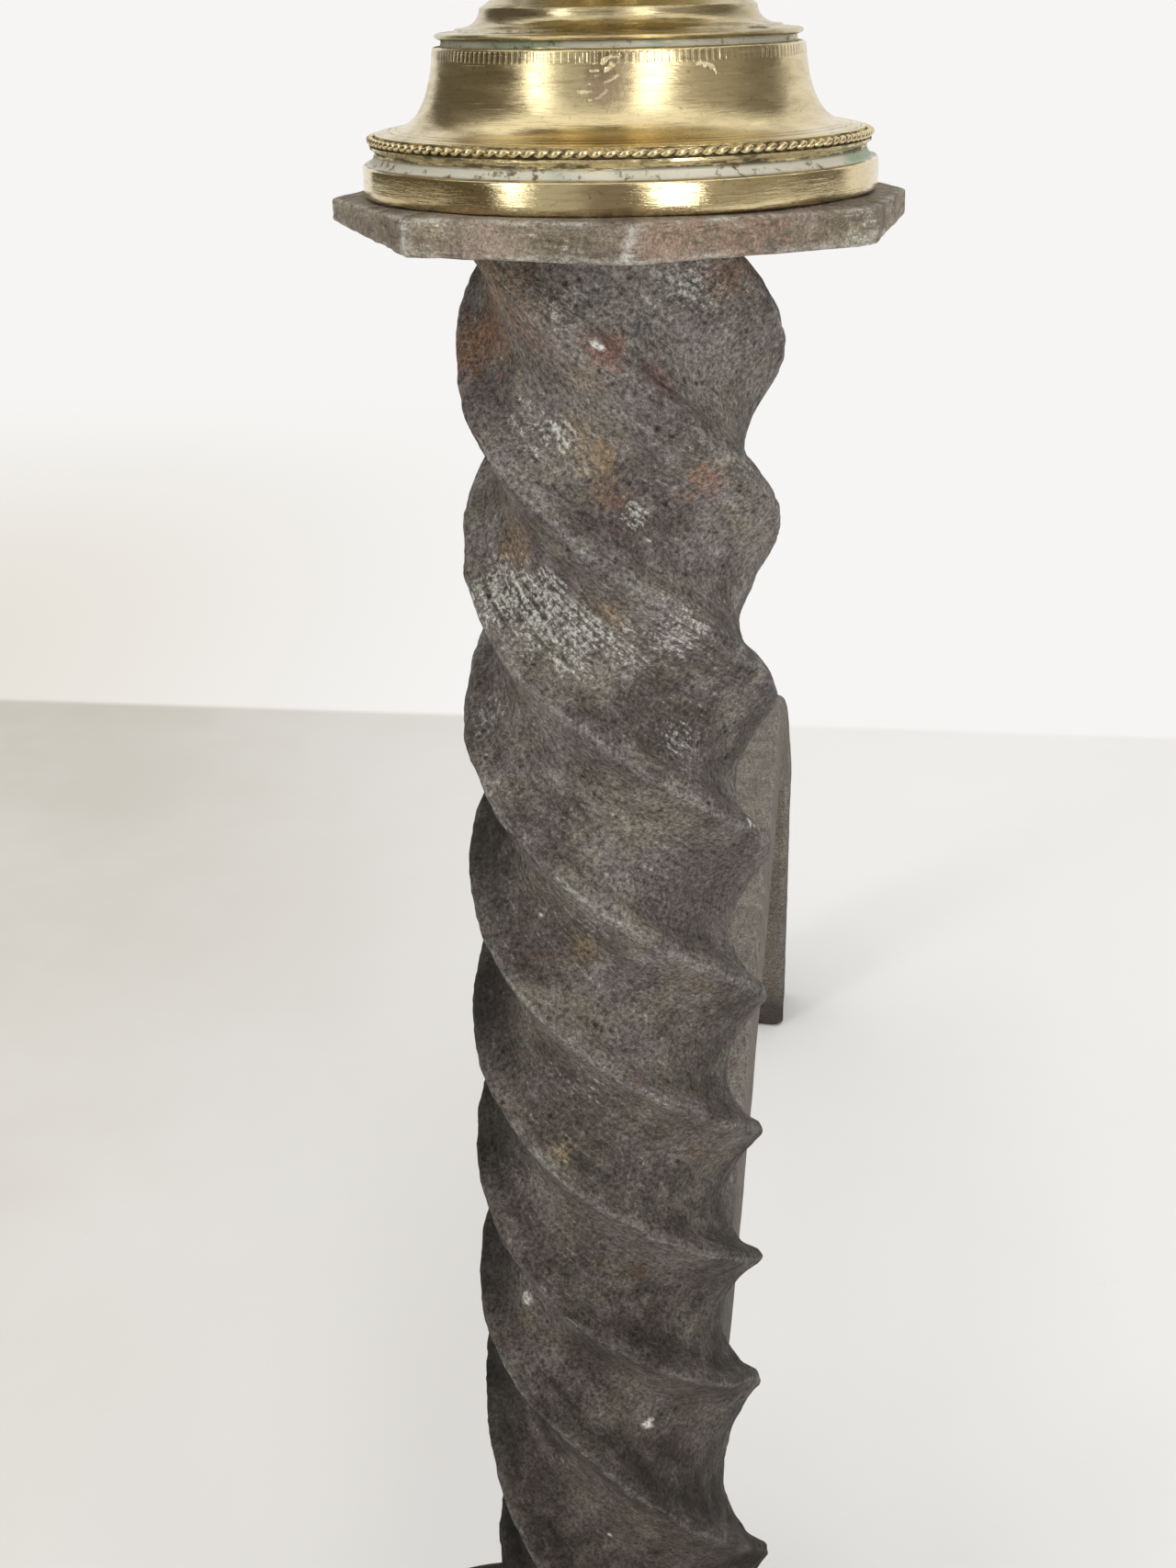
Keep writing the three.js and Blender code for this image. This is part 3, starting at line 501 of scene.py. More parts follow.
def shaft_ring(z):
    height = z - TURN_FOOT_Z
    share = height / (RUN_OUT_LENGTH + TWIST_LENGTH)
    side = mix(40.8, 38.2, share ** 0.5)
    corner = mix(2.8, 6.0, max(0, share * 1.25 - 0.25))
    turn = turned_by(height)
    shift = SHAFT_LEAN * share - SHAFT_BOW * sin(pi * (1 - share) ** 1.6) - 1.2 * max(0, share * 12 - 11)
    shift += SHAFT_STEP * exp(-((height / 30) ** 2))
    ring = []
    hollow, lean, lap = mix(0.4, 0.1, share), mix(1.2, 1.5, share), mix(0.6, 0.4, share)
    edge_width = mix(0.7, 1.4, share)
    for u, v, edge in bar_section(side, side, corner, hollow, *SHAFT_STEPS, lean, edge_width, lap):
        x = u * cos(turn) - v * sin(turn)
        y = u * sin(turn) + v * cos(turn)
        size = hypot(x, y)
        dent = 0.42 * rough(x, y, z, 13, 5.3) + 0.24 * rough(x, y, z, 3.6, 2.4)
        dent += 0.55 * edge * rough(x, y, z, 22, 9.7) + 0.15 * rough(x, y, z, 1.6, 6.6)
        rub_and_shade = edge * mix(1.0, 0.25, share)
        # Painted shade on the faces that look left, carried in the edge mask as values below zero.
        left_shade = min(max((-x / size - LEFT_SHADE_START) / (1 - LEFT_SHADE_START), 0), 1)
        left_shade *= min(max((LEFT_SHADE_TOP - z) / 60, 0.25), 1)
        rub_and_shade = min(rub_and_shade, mix(rub_and_shade, -1.0, left_shade))
        ring.append((AXIS_X + shift + x * (1 + dent / size), AXIS_Y + y * (1 + dent / size), z, rub_and_shade))
    return ring


def round_ring(radius, z, x=0.0, edge=0.0):
    count = 4 * (SHAFT_STEPS[0] + SHAFT_STEPS[1])
    turns = [2 * pi * (i + 0.5) / count for i in range(count)]
    return [(AXIS_X + x + radius * cos(turn), AXIS_Y + radius * sin(turn), z, edge) for turn in turns]


RIVET_RADIUS, RIVET_HEIGHT, RIVET_SEAT_Z = 14, 6, 74
TENON_RADIUS = 10
BLOCK_RINGS = 13
SHAFT_RINGS = 480
upright_rings = []
for step in range(9):
    angle = pi / 2 * mix(0.12, 1, step / 8)
    rivet_z = RIVET_SEAT_Z - RIVET_HEIGHT * cos(angle)
    upright_rings.append(round_ring(RIVET_RADIUS * sin(angle), rivet_z, 0, 0.5))
upright_rings += [round_ring(TENON_RADIUS, z) for z in (RIVET_SEAT_Z, SEAT_Z)]
for step in range(BLOCK_RINGS):
    z = mix(SEAT_Z, TURN_FOOT_Z, step / BLOCK_RINGS)
    ease = max(0, (z - BLOCK_TOP_Z) / (TURN_FOOT_Z - BLOCK_TOP_Z))
    ring = []
    block = bar_section(BLOCK_SIDE, BLOCK_SIDE, 3, 0, *SHAFT_STEPS)
    for (x, y, edge), above_it in zip(block, shaft_ring(TURN_FOOT_Z)):
        x, y = AXIS_X + x, AXIS_Y + y
        uneven = (0.2 * rough(x, y, z, 9, 4), 0.2 * rough(y, x, z, 9, 4))
        ring.append((mix(x, above_it[0], ease) + uneven[0], mix(y, above_it[1], ease) + uneven[1], z, edge))
    upright_rings.append(ring)
for step in range(SHAFT_RINGS + 1):
    upright_rings.append(shaft_ring(mix(TURN_FOOT_Z, PLATE_Z, step / SHAFT_RINGS)))
for radius, height in ((9, 0), (9, 5), (13, 5), (11, 8)):
    upright_rings.append(round_ring(radius, PLATE_Z + height, SHAFT_LEAN))


def untwisted(tree, place):
    """The place turned back round the upright, so that the bar's grain follows its twist."""
    height = axes(tree, place)["Z"]
    foot, knee, top = TURN_FOOT_Z * MM, (TURN_FOOT_Z + RUN_OUT_LENGTH) * MM, PLATE_Z * MM
    run_out = between(tree, height, foot, knee, 0, RUN_OUT_TURN, "LINEAR")
    twist = between(tree, height, knee, top, 0, TWIST_TURN, "LINEAR")
    angle = plus(tree, run_out, twist)
    centre = (AXIS_X * MM, AXIS_Y * MM, 0)
    return add(
        tree, "VectorRotate", {"Vector": place, "Center": centre, "Angle": angle}, rotation_type="Z_AXIS"
    ).outputs[0]


RUST = (0.2, 0.1, 0.055)
RED_RUST = (0.27, 0.125, 0.09)
OCHRE = (0.27, 0.185, 0.095)
WHITE = (0.9, 0.88, 0.82)
LAP_CRACK_AND_SHADE = (0.05, 0.038, 0.03)
shaft_iron = iron(
    "shaft_iron",
    (0.11, 0.095, 0.086), (0.198, 0.179, 0.162), (0.38, 0.362, 0.335),
    RUST,
    0.08,
    relief=0.62,
    fibre=untwisted,
    limed=[
        ((-15.6, -214.4, 334.8), 9, 0.6), ((-9.5, -216, 334.2), 10, 0.62), ((-4.4, -217.5, 330.5), 10, 0.6),
        ((3, -217.8, 329.4), 8, 0.48), ((11.7, -219.5, 331), 8, 0.55), ((12.6, -215.5, 381.9), 7, 0.6),
        ((15.8, -214, 379.6), 5, 0.5), ((-3.4, -222.5, 378.9), 6.5, 0.55), ((-8.5, -217, 360), 7, 0.42),
        ((-4.2, -217, 359.7), 3.4, 0.6), ((5.6, -218.2, 348.6), 3.6, 0.55), ((12.4, -216, 312), 7, 0.45),
        ((-19.5, -208, 313), 5, 0.42), ((-3, -223, 281), 7, 0.36), ((-4, -221, 251), 7, 0.34),
    ],
    patches=[
        # Two pale patches paint light on the top of the upright, in the plate's shade.
        ((4, -221, 381), 17, 1.4, (0.28, 0.26, 0.235), 0.55),
        ((16, -213, 372), 13, 1.4, (0.27, 0.25, 0.225), 0.45),
        ((-13, -215, 381), 9, 2.4, (0.29, 0.205, 0.125), 0.65),
        ((-8.5, -219.5, 376), 7, 2.4, (0.24, 0.16, 0.12), 0.4), ((-16, -207.5, 374), 8, 2.4, RUST, 0.7),
        ((-19.5, -205, 369.8), 7, 2.4, (0.26, 0.145, 0.085), 0.7),
        ((2.6, -222.9, 374), 4.4, 2, RED_RUST, 0.7), ((-0.5, -222, 369.5), 4, 2.6, OCHRE, 0.3),
        ((9.5, -219.6, 368), 4, 2.6, RED_RUST, 0.3), ((0.9, -217.7, 356.6), 4.5, 2.6, OCHRE, 0.5),
        ((-2, -218.3, 360.4), 4, 2.6, OCHRE, 0.3),
        ((14.9, -214.4, 354.5), 4.6, 2.4, (0.34, 0.19, 0.13), 0.65),
        ((-13.4, -212.6, 342.5), 5.5, 2.6, OCHRE, 0.45), ((2.7, -218.8, 334.4), 3.6, 2.4, OCHRE, 0.5),
        ((19.1, -214.3, 382.3), 5.5, 2.4, RUST, 0.5), ((-2.6, -217.6, 276.4), 4.5, 3, OCHRE, 0.3),
        ((-20, -206, 300), 6, 3, OCHRE, 0.25), ((-6.9, -222.3, 239.5), 3.0, 1.8, (0.42, 0.33, 0.19), 0.6),
        ((14, -212, 236), 3.6, 2.6, RUST, 0.4), ((1.6, -223.2, 374.4), 1.7, 1.6, WHITE, 1),
        ((5.6, -221.5, 372.7), 1.3, 1.4, WHITE, 0.8),
        ((6.6, -217.4, 177), 1.5, 1.4, (0.66, 0.64, 0.58), 0.9), ((-0.5, -218.2, 150), 1.1, 0.5, WHITE, 1),
        ((15.6, -217.3, 149.3), 0.8, 0.5, WHITE, 0.9), ((-10.5, -214.6, 280.4), 0.6, 0.5, WHITE, 0.8),
        ((-16.2, -211.8, 199.1), 1.8, 1.4, (0.55, 0.53, 0.47), 0.8),
        ((2, -216, 205), 3, 2, (0.36, 0.3, 0.2), 0.35),
        ((16, -211, 286), 16, 1.2, (0.09, 0.074, 0.07), 0.75),
    ],
    # The cold lap: a dark line, partly the crack and partly painted shade, and a paler lip just below
    seams=[
        # it that carries a painted highlight.
        ((1.6, -224.1, 345.5), (5, -223.7, 343.3), 0.6, LAP_CRACK_AND_SHADE, -1.4),
        ((5, -223.7, 343.3), (8, -223.2, 341.1), 0.65, LAP_CRACK_AND_SHADE, -1.4),
        ((8, -223.2, 341.1), (11.4, -222.2, 337.9), 0.5, LAP_CRACK_AND_SHADE, -1),
        ((2, -224.1, 344.2), (7.4, -223.2, 340.3), 0.5, (0.3, 0.28, 0.26), 0.5),
        # A pale line along the right-hand crest: a painted highlight.
        ((22.8, -211.7, 297.4), (24.6, -202.6, 287.9), 0.7, (0.8, 0.78, 0.7), 0.5),
    ],
    soot_and_shade_below=350,
)
upright = skin("upright_twisted", [upright_rings])
fit(upright, shaft_iron, "wrought_iron", "upright")

# ---- rove washer ----
# Flat wrought-iron washer let into the underside of the arch. The upright's foot tenon goes through
# it and is riveted over it.

recoat("rove_washer", leg_iron)

# ---- log bar ----
# One wrought-iron bar on which the logs rest. It is tenoned into the upright's back, runs level to
# the rear and is bent down hot into the rear leg, which stands on the hearth.

BAR_TOP_Z = 158
BAR_WIDTH, BAR_DEPTH = 35, 38
LEG_WIDTH, LEG_DEPTH = 42, 31
BAR_START_Y = 18
BAR_REACH = 411
BEND_RADIUS = 8
SOLE_HEIGHT = 1.6
BAR_STEPS, BEND_STEPS, LEG_STEPS = 130, 24, 44
LOG_WEAR_AND_TOP_LIGHT = 0.4

bar_rings = []


def bar_ring(y, z, turn, width, depth, inset=0.0):
    """A ring across the bar where its run has turned down by an angle from level."""
    ring = []
    for u, v, edge in bar_section(width - 2 * inset, depth - 2 * inset, 3.4, 0.2, 6, 14):
        px, py, pz = -u, y + v * sin(turn), z + v * cos(turn)
        size = hypot(u, v)
        dent = 0.34 * rough(px, py / 2, pz, 19, 6.4) + 0.1 * rough(px, py / 4, pz, 5, 1.3) - 0.3
        # The top face is paled: worn where logs lie, and partly a painted highlight for light from above.
        if turn == 0 and v > depth / 2 - 1:
            edge = max(edge, LOG_WEAR_AND_TOP_LIGHT)
        px = AXIS_X + px - u * dent / size
        py = AXIS_Y + min(py + v * sin(turn) * dent / size, BAR_REACH + LEG_DEPTH)
        ring.append((px, py, pz + v * cos(turn) * dent / size, edge))
    return ring


centre_z = BAR_TOP_Z - BAR_DEPTH / 2
pivot_y, pivot_z = BAR_REACH - BEND_RADIUS, BAR_TOP_Z - BAR_DEPTH - BEND_RADIUS
for step in range(BAR_STEPS + 1):
    y = mix(BAR_START_Y, pivot_y, step / BAR_STEPS)
    bar_rings.append(bar_ring(y, centre_z, 0, BAR_WIDTH, BAR_DEPTH))
for step in range(1, BEND_STEPS + 1):
    share = step / BEND_STEPS
    turn = pi / 2 * share
    depth = mix(BAR_DEPTH, LEG_DEPTH, share)
    width = mix(BAR_WIDTH, LEG_WIDTH, share)
    reach = BEND_RADIUS + depth / 2
    y, z = pivot_y + reach * sin(turn), pivot_z + reach * cos(turn)
    bar_rings.append(bar_ring(y, z, turn, width, depth))
leg_y = BAR_REACH + LEG_DEPTH / 2
for step in range(1, LEG_STEPS + 1):
    z = mix(pivot_z, SOLE_HEIGHT, step / LEG_STEPS)
    bar_rings.append(bar_ring(leg_y, z, pi / 2, LEG_WIDTH, LEG_DEPTH))
sole = bar_ring(leg_y, 0, pi / 2, LEG_WIDTH, LEG_DEPTH, 1.5)
bar_rings.append([(x, y, 0, edge) for x, y, _, edge in sole])


def lengthwise(tree, place):
    """The place with the bar's run as its third axis, so that the grain lies along the bar."""
    split = axes(tree, place)
    return add(tree, "CombineXYZ", {0: split["X"], 1: split["Z"], 2: split["Y"]}).outputs[0]


bar_iron = iron(
    "bar_iron",
    (0.124, 0.107, 0.089), (0.162, 0.143, 0.119), (0.27, 0.245, 0.205), (0.17, 0.105, 0.062),
    0.05,
    fibre=lengthwise,
    patches=[
        # Painted shade: dark on the bar beside the upright, and on the rear leg under the bar.
        ((14, -185, 158), 120, 0.5, (0.055, 0.046, 0.037), 0.85),
        ((0, 232, 0), 150, 0.5, (0.06, 0.052, 0.044), 0.5),
    ],
    soot_and_shade_below=24,
    pitting=0.8,
)
log_bar = skin("log_bar_forged", [bar_rings])
fit(log_bar, bar_iron, "wrought_iron", "log_bar")

# ---- plate ----
# Eight-sided iron plate, cut and filed by hand, on the upright's top tenon. The brass stands on it.
# Its rim is uneven, and handling has rubbed its edges pale.

# Of each corner: its angle, its distance out, and how far wear has moved its lower and upper edge.
PLATE_CORNERS = [
    (11.5, 42.5, 0.1, -0.9), (54.5, 42.7, 0, 0), (99.5, 42.7, 0, -0.1), (144.5, 42.6, 0.2, -0.1),
    (187, 42.4, 1.0, -0.5), (235, 42.8, -0.25, -0.15), (278.5, 42.8, -0.35, -0.1),
    (329.5, 42.9, -0.5, -0.4),
]
SIDE_POINTS = 34
plate_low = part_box("plate")[0].z / MM


def plate_outline(inset):
    """Points round the plate, each with how near it is to a corner and how far its edges have moved."""
    corners = []
    for angle, radius, low, high in PLATE_CORNERS:
        turn = radians(angle)
        out = Vector((cos(turn), sin(turn))) * (radius - inset * 1.08)
        corners.append((out, low, high))
    points = []
    for here, there in zip(corners, corners[1:] + corners[:1]):
        for step in range(SIDE_POINTS):
            share = (1 - cos(pi * step / SIDE_POINTS)) / 2
            near = exp(-((min(share, 1 - share) * 24) ** 2))
            point = here[0].lerp(there[0], share) * (1 - 0.006 * near)
            points.append((point, near, mix(here[1], there[1], share), mix(here[2], there[2], share)))
    return points


plate_rings = []
# Negative edge values darken the top face under the brass: dirt, and partly painted shade.
for inset, z, edge in (
    (9, 0, 0), (1.4, 0, 0.1), (0.5, 0.12, 0.9), (0.12, 0.5, 1), (0, 1.1, 0.2), (0, 2, 0), (0, 2.9, 0),
    (0, 3.6, 0), (0.03, 4.4, 0.2), (0.14, 4.75, 1), (0.5, 4.92, 0.9), (1.3, 4.97, -0.3), (5, 5, -0.6),
    (9, 5, -0.6),
):
    ring = []
    for point, near, low, high in plate_outline(inset):
        x, y = point
        size = hypot(x, y)
        dent, lift = 0, 0
        if inset < 5:
            dent = 0.28 * rough(x, y, z, 7, 2.2) + 0.2 * rough(x, y, z, 2, 7.7) - 0.2
            lift = 0.12 * rough(x, y, 0, 4, 5.5) + (low if z < 2.5 else high) * abs(z / 2.5 - 1)
        rub_and_shade = max(edge, near * 0.9 if inset < 1 else 0)
        swell = 1 + dent / size
        ring.append((AXIS_X + SHAFT_LEAN + x * swell, AXIS_Y + y * swell, plate_low + z + lift, rub_and_shade))
    plate_rings.append(ring)


def along_rim(tree, place):
    """The place with the way round the plate as its third axis, so that file marks run that way."""
    out = vectors(tree, "SUBTRACT", place, [AXIS_X * MM, AXIS_Y * MM, 0])
    split = axes(tree, out)
    round_rim = times(tree, maths(tree, "ARCTAN2", split["X"], split["Y"]), 42 * MM)
    return add(tree, "CombineXYZ", {0: split["Z"], 1: split["Z"], 2: round_rim}).outputs[0]


plate_iron = iron(
    "plate_iron",
    (0.14, 0.115, 0.088), (0.28, 0.235, 0.182), (0.46, 0.41, 0.33), (0.25, 0.14, 0.09),
    0.08,
    relief=0.42,
    fibre=along_rim,
    limed=[
        ((-12, -240.5, 386.4), 6, 0.42), ((0, -241.5, 386.4), 5, 0.42), ((-18, -237, 392), 6, 0.36),
        ((-6, -240.5, 392), 5, 0.4), ((36, -222, 388.6), 5, 0.4), ((41.5, -207, 390), 5, 0.4),
    ],
    patches=[
        ((14, -240, 389), 8, 2.2, (0.33, 0.215, 0.155), 0.6),
        ((24, -235, 389.5), 8, 2.4, (0.31, 0.2, 0.145), 0.6),
        ((-38, -216, 389.5), 9, 2, (0.17, 0.15, 0.115), 0.6),
    ],
    seams=[
        ((7.6, -241.7, 386.6), (7.8, -241.7, 389.6), 1.1, (0.66, 0.63, 0.57), 0.5),
        ((7.8, -241.7, 389.6), (9, -241.3, 391.6), 1.0, (0.66, 0.63, 0.57), 0.5),
        ((-22.9, -234.4, 387.2), (-22.9, -234.4, 391), 0.8, (0.55, 0.52, 0.46), 0.3),
        ((-17, -236.9, 386.3), (-3, -241.2, 386.3), 0.8, (0.7, 0.67, 0.6), 0.3),
        ((-21, -235.6, 391.7), (-8, -239.6, 391.7), 0.7, (0.62, 0.59, 0.53), 0.3),
        ((37, -219, 386.4), (41.5, -209, 387), 0.9, (0.6, 0.57, 0.5), 0.3),
    ],
    pitting=0.5,
)
plate = skin("plate_cut", [plate_rings])
fit(plate, plate_iron, "plate_iron", "plate")

# ---- tie rod ----
# Plain iron rod, screwed into the upright's top, that runs up inside the hollow brass and takes the
# knob's thread, so that the knob clamps the whole stack.

recoat("tie_rod", leg_iron)

# ---- finial base ----
# Cast brass, turned on a lathe: a plain band, a row of milled beads, and a flared skirt with a
# milled top edge. Old polish and lime lie in the recesses, and cloth has left fine scratches.

HEAD_X = AXIS_X + SHAFT_LEAN


def bow(start, control, end, steps, grime=(0, 0)):
    """Points of a smooth curve that leaves start towards control and reaches end."""
    points = []
    for step in range(steps + 1):
        t = step / steps
        ways = zip(start, control, end)
        radius, z = [(1 - t) ** 2 * a + 2 * t * (1 - t) * b + t * t * c for a, b, c in ways]
        points.append((radius, z, mix(grime[0], grime[1], t)))
    return points


def bulge(centre, across, up, from_angle, to_angle, steps):
    """Points of a part of an oval, between two angles in degrees from level."""
    points = []
    for step in range(steps + 1):
        angle = radians(mix(from_angle, to_angle, step / steps))
        points.append((centre[0] + across * cos(angle), centre[1] + up * sin(angle), 0))
    return points


def turned_piece(node, name, profile, material, steps=288, raised=0, body="andiron"):
    """Turns a profile of (radius, height, grime), listed from its foot up, and fits the piece.

    Heights are measured from the piece's foot, or from a line raised above it.
    """
    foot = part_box(node)[0].z / MM + raised
    turns = [2 * pi * i / steps for i in range(steps)]
    rings = [
        [(HEAD_X + radius * cos(turn), AXIS_Y + radius * sin(turn), foot + z, grime) for turn in turns]
        for radius, z, grime in profile
    ]
    fit(skin(name, [rings], "grime"), material, "aged_brass", node, body=body)


# Polished brass gone dull in places: clouding, fine turned lines, random scratches, and lime.
brass_surface, given, result = new_group(
    "brass_surface",
    [("Place", "vector"), ("Bright", "colour"), ("Dull", "colour"), ("Grime", "value")],
    [("Colour", "colour"), ("Roughness", "value"), ("Height", "value")],
)
tree = brass_surface
place = given["Place"]
cloud = grain(tree, place, 50, 6, 0.6)
smear_place = stretched(tree, place, 6)
smear = grain(tree, smear_place, 90, 6, 0.66)
line_place = stretched(tree, place, 40)
lines = grain(tree, line_place, 75, 4, 0.7)
brushed_place = stretched(tree, place, 9)
brushed = grain(tree, brushed_place, 260, 4, 0.7)
scratch_place = add(
    tree, "Mapping", {"Vector": place, "Rotation": (0, 0.9, 0.3), "Scale": (1, 1, 34)}
).outputs[0]
scratches = between(tree, grain(tree, scratch_place, 60, 2, 0.5), 0.64, 0.7)
spots = between(tree, grain(tree, place, 1100, 3, 0.6), 0.6, 0.74)
dull = times(tree, between(tree, cloud, 0.4, 0.7), between(tree, smear, 0.35, 0.65))
colour = colours(tree, dull, given["Bright"], given["Dull"])
colour = colours(tree, between(tree, brushed, 0.46, 0.7, 0, 0.6), colour, given["Dull"])
colour = colours(tree, times(tree, spots, 0.4), colour, (0.2, 0.15, 0.08, 1))
torn = between(tree, grain(tree, smear_place, 190, 6, 0.74), 0.3, 0.7, -0.42, 0.42)
grime = between(tree, plus(tree, given["Grime"], torn), 0.35, 0.75)
green = between(tree, grain(tree, place, 33, 3), 0.46, 0.6)
verdigris = colours(tree, green, (0.84, 0.82, 0.73, 1), (0.52, 0.61, 0.48, 1))
flaked = grain(tree, place, 520, 5, 0.7)
grime_colour = colours(tree, between(tree, flaked, 0.54, 0.68), verdigris, (0.24, 0.19, 0.11, 1))
thick = between(tree, given["Grime"], 0.6, 1.0)
grime_colour = colours(tree, thick, (0.2, 0.17, 0.1, 1), grime_colour)
colour = colours(tree, grime, colour, grime_colour)
wear = plus(tree, between(tree, smear, 0.3, 0.7, 0.15, 0.3), times(tree, dull, 0.14))
wear = plus(tree, wear, times(tree, grime, 0.55))
height = plus(tree, times(tree, lines, 0.7), times(tree, scratches, -0.5))
height = plus(tree, height, times(tree, brushed, 1.3))
height = plus(tree, height, times(tree, grime, times(tree, flaked, 2.0)))
tree.links.new(colour, result["Colour"])
tree.links.new(wear, result["Roughness"])
tree.links.new(height, result["Height"])


def brass(
    name, bright=(0.76, 0.635, 0.37), dull=(0.5, 0.41, 0.235), milled=None, polished_below=None,
    scored=(), dulled=(),
):
    """Material of aged brass.

    Milled is (low z, high z, teeth) of a band of short upright cuts. Scored lists the (start, end,
    width) of single scratches, and dulled the (centre, radius, strength) of dull spots.
    """
    material = bpy.data.materials.new(name)
    tree = empty_tree(material)
    place = add(tree, "TexCoord").outputs["Object"]
    grime = add(tree, "Attribute", attribute_name="grime").outputs["Fac"]
    settings = {"Place": place, "Bright": (*bright, 1), "Dull": (*dull, 1), "Grime": grime}
    surface = add(tree, "Group", settings, node_tree=brass_surface)
    colour, height, wear = [surface.outputs[key] for key in ("Colour", "Height", "Roughness")]
    split = axes(tree, place)
    if polished_below:
        level = between(tree, split["Z"], polished_below * MM, (polished_below + 0.3) * MM, 0.45, 1)
        wear = times(tree, wear, level)
    if milled:
        low, high, teeth = milled
        across = less(tree, split["X"], HEAD_X * MM)
        along = less(tree, split["Y"], AXIS_Y * MM)
        angle = maths(tree, "ARCTAN2", along, across)
        wave = maths(tree, "SINE", times(tree, angle, float(teeth)))
        from_low = between(tree, split["Z"], low * MM, (low + 0.4) * MM)
        band = times(tree, from_low, between(tree, split["Z"], high * MM, (high - 0.3) * MM))
        band = times(tree, band, between(tree, grain(tree, place, 75, 3), 0.42, 0.56, 0.1, 1))
        cuts = times(tree, between(tree, wave, -0.2, 0.5), band)
        ridges = less(tree, band, cuts)
        # Each cut gets a painted highlight, and the ridges between the cuts painted shade.
        colour = colours(tree, times(tree, cuts, 0.5), colour, (0.95, 0.84, 0.58, 1))
        colour = colours(tree, times(tree, ridges, 0.55), colour, (0.26, 0.2, 0.1, 1))
        height = less(tree, height, times(tree, cuts, 4))
    for centre, radius, strength in dulled:
        tarnish = times(tree, patch_mask(tree, place, place, centre, radius, 2.2), strength)
        colour = colours(tree, tarnish, colour, (0.34, 0.255, 0.17, 1))
        wear = plus(tree, wear, times(tree, tarnish, 0.2))
    for start, end, width in scored:
        line = seam_mask(tree, place, start, end, width)
        colour = colours(tree, times(tree, line, 0.6), colour, (0.95, 0.84, 0.6, 1))
        height = less(tree, height, times(tree, line, 4))
        wear = plus(tree, wear, times(tree, line, 0.25))
    metal(tree, colour, wear, height, 0.5, 0.06, 1.0)
    return material


base_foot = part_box("finial_base")[0].z / MM
BAND_TOP = 4.3
BEADS_Z = 7.55
base_brass = brass(
    "base_brass",
    milled=(base_foot + 17.7, base_foot + 19.3, 172),
    polished_below=base_foot + BAND_TOP,
    scored=[
        ((1.4, -226, 408.9), (4.3, -225.7, 409.6), 0.36),
        ((2.4, -226.1, 408.5), (3.8, -225.8, 409.4), 0.34),
        ((2.9, -225.7, 410.3), (4.8, -225.4, 410.9), 0.36),
        ((0.1, -226.8, 406.1), (1.3, -226.8, 406.6), 0.44),
        ((1.6, -227.3, 405.3), (3.4, -226.7, 406.6), 0.4),
        ((4.1, -226.7, 406.4), (5.5, -226.2, 407.2), 0.3),
        ((1.3, -226.4, 407.6), (2.2, -226.3, 407.8), 0.34),
        ((3.6, -226.2, 407.6), (5.6, -225.8, 408.8), 0.26),
        ((0.9, -225.8, 409.7), (3.1, -225.7, 410), 0.26),
        ((14.8, -222.3, 409.8), (16.9, -221.5, 408.3), 0.32),
        ((16.9, -221.5, 408.3), (17.4, -221.5, 407.5), 0.32),
    ],
    dulled=[
        ((3.6, -226.4, 407.6), 3.6, 0.85), ((2.3, -226.7, 406.4), 2.6, 0.7),
        ((5.2, -225.8, 409.2), 2.6, 0.6),
    ],
)
base_profile = [
    (30, 0, 0.6), (36.4, 0, 0.8), (36.78, 0.15, 0.45), (36.9, 0.4, 0.12), (36.93, 1.4, 0), (36.93, 2.6, 0),
    (36.91, 3.8, 0), (36.87, 4.1, 0.1), (36.7, 4.24, 0.3), (36.3, BAND_TOP, 0.7), (36.0, 4.36, 0.9),
    (35.6, 4.7, 1.1), (35.3, 5.2, 1.05), (35.15, 5.7, 0.7), (35.25, 6.1, 0.5), (35.6, 6.35, 0.35),
    (35.8, 6.5, 0.3), (35.8, 6.85, 0.4), (35.2, 6.95, 0.65), (35.0, BEADS_Z, 0.7), (34.9, 8.1, 0.5),
    (34.95, 8.3, 0.2), (34.7, 8.38, 0), (34.5, 8.4, 0), (34.35, 8.34, 0.5), (34.15, 8.46, 0),
    (33.2, 8.66, 0), (33.0, 8.6, 0.5), (32.75, 8.72, 0), (32.1, 8.86, 0), (31.95, 8.82, 0.35),
    (31.75, 8.92, 0),
]
base_profile += bow((31.5, 8.98), (27.3, 10.1), (26.35, 18.4), 26)
base_profile += [
    (26.3, 18.9, 0), (26.25, 19.25, 0.1), (26.1, 19.45, 0.3), (25.6, 19.55, 0.7), (25.1, 19.6, 0.85),
    (25.0, 20, 0.9), (25.0, 20.4, 0.8), (20, 20.4, 0.5),
]
turned_piece("finial_base", "base_turned", base_profile, base_brass, 320)

# ---- bead row ----
# Ring of small slanted beads round the foot of the skirt. It is one with the brass base, and was
# rolled into a raised ring of it with a milling wheel.

BEADS = 125
BEAD_STEPS = 10
BEAD_SLANT = 0.009
bead_rings = []
for step in range(BEADS * BEAD_STEPS):
    angle = 2 * pi * step / (BEADS * BEAD_STEPS)
    swell = abs(sin(pi * step / BEAD_STEPS)) ** 0.7
    uneven = 1 + 0.1 * rough(30 * cos(angle), 30 * sin(angle), 0, 1.5, 1.9)
    size = mix(0.14, 0.58, swell) * uneven
    ring = []
    for turn in range(12):
        around = 2 * pi * turn / 12
        radius = 35.6 + size * cos(around)
        lean = angle + BEAD_SLANT * sin(around)
        z = base_foot + BEADS_Z + size * 0.95 * sin(around)
        ring.append((HEAD_X + radius * cos(lean), AXIS_Y + radius * sin(lean), z, 0.74 - 0.85 * swell))
    bead_rings.append(ring)
bead_rings.append(bead_rings[0])
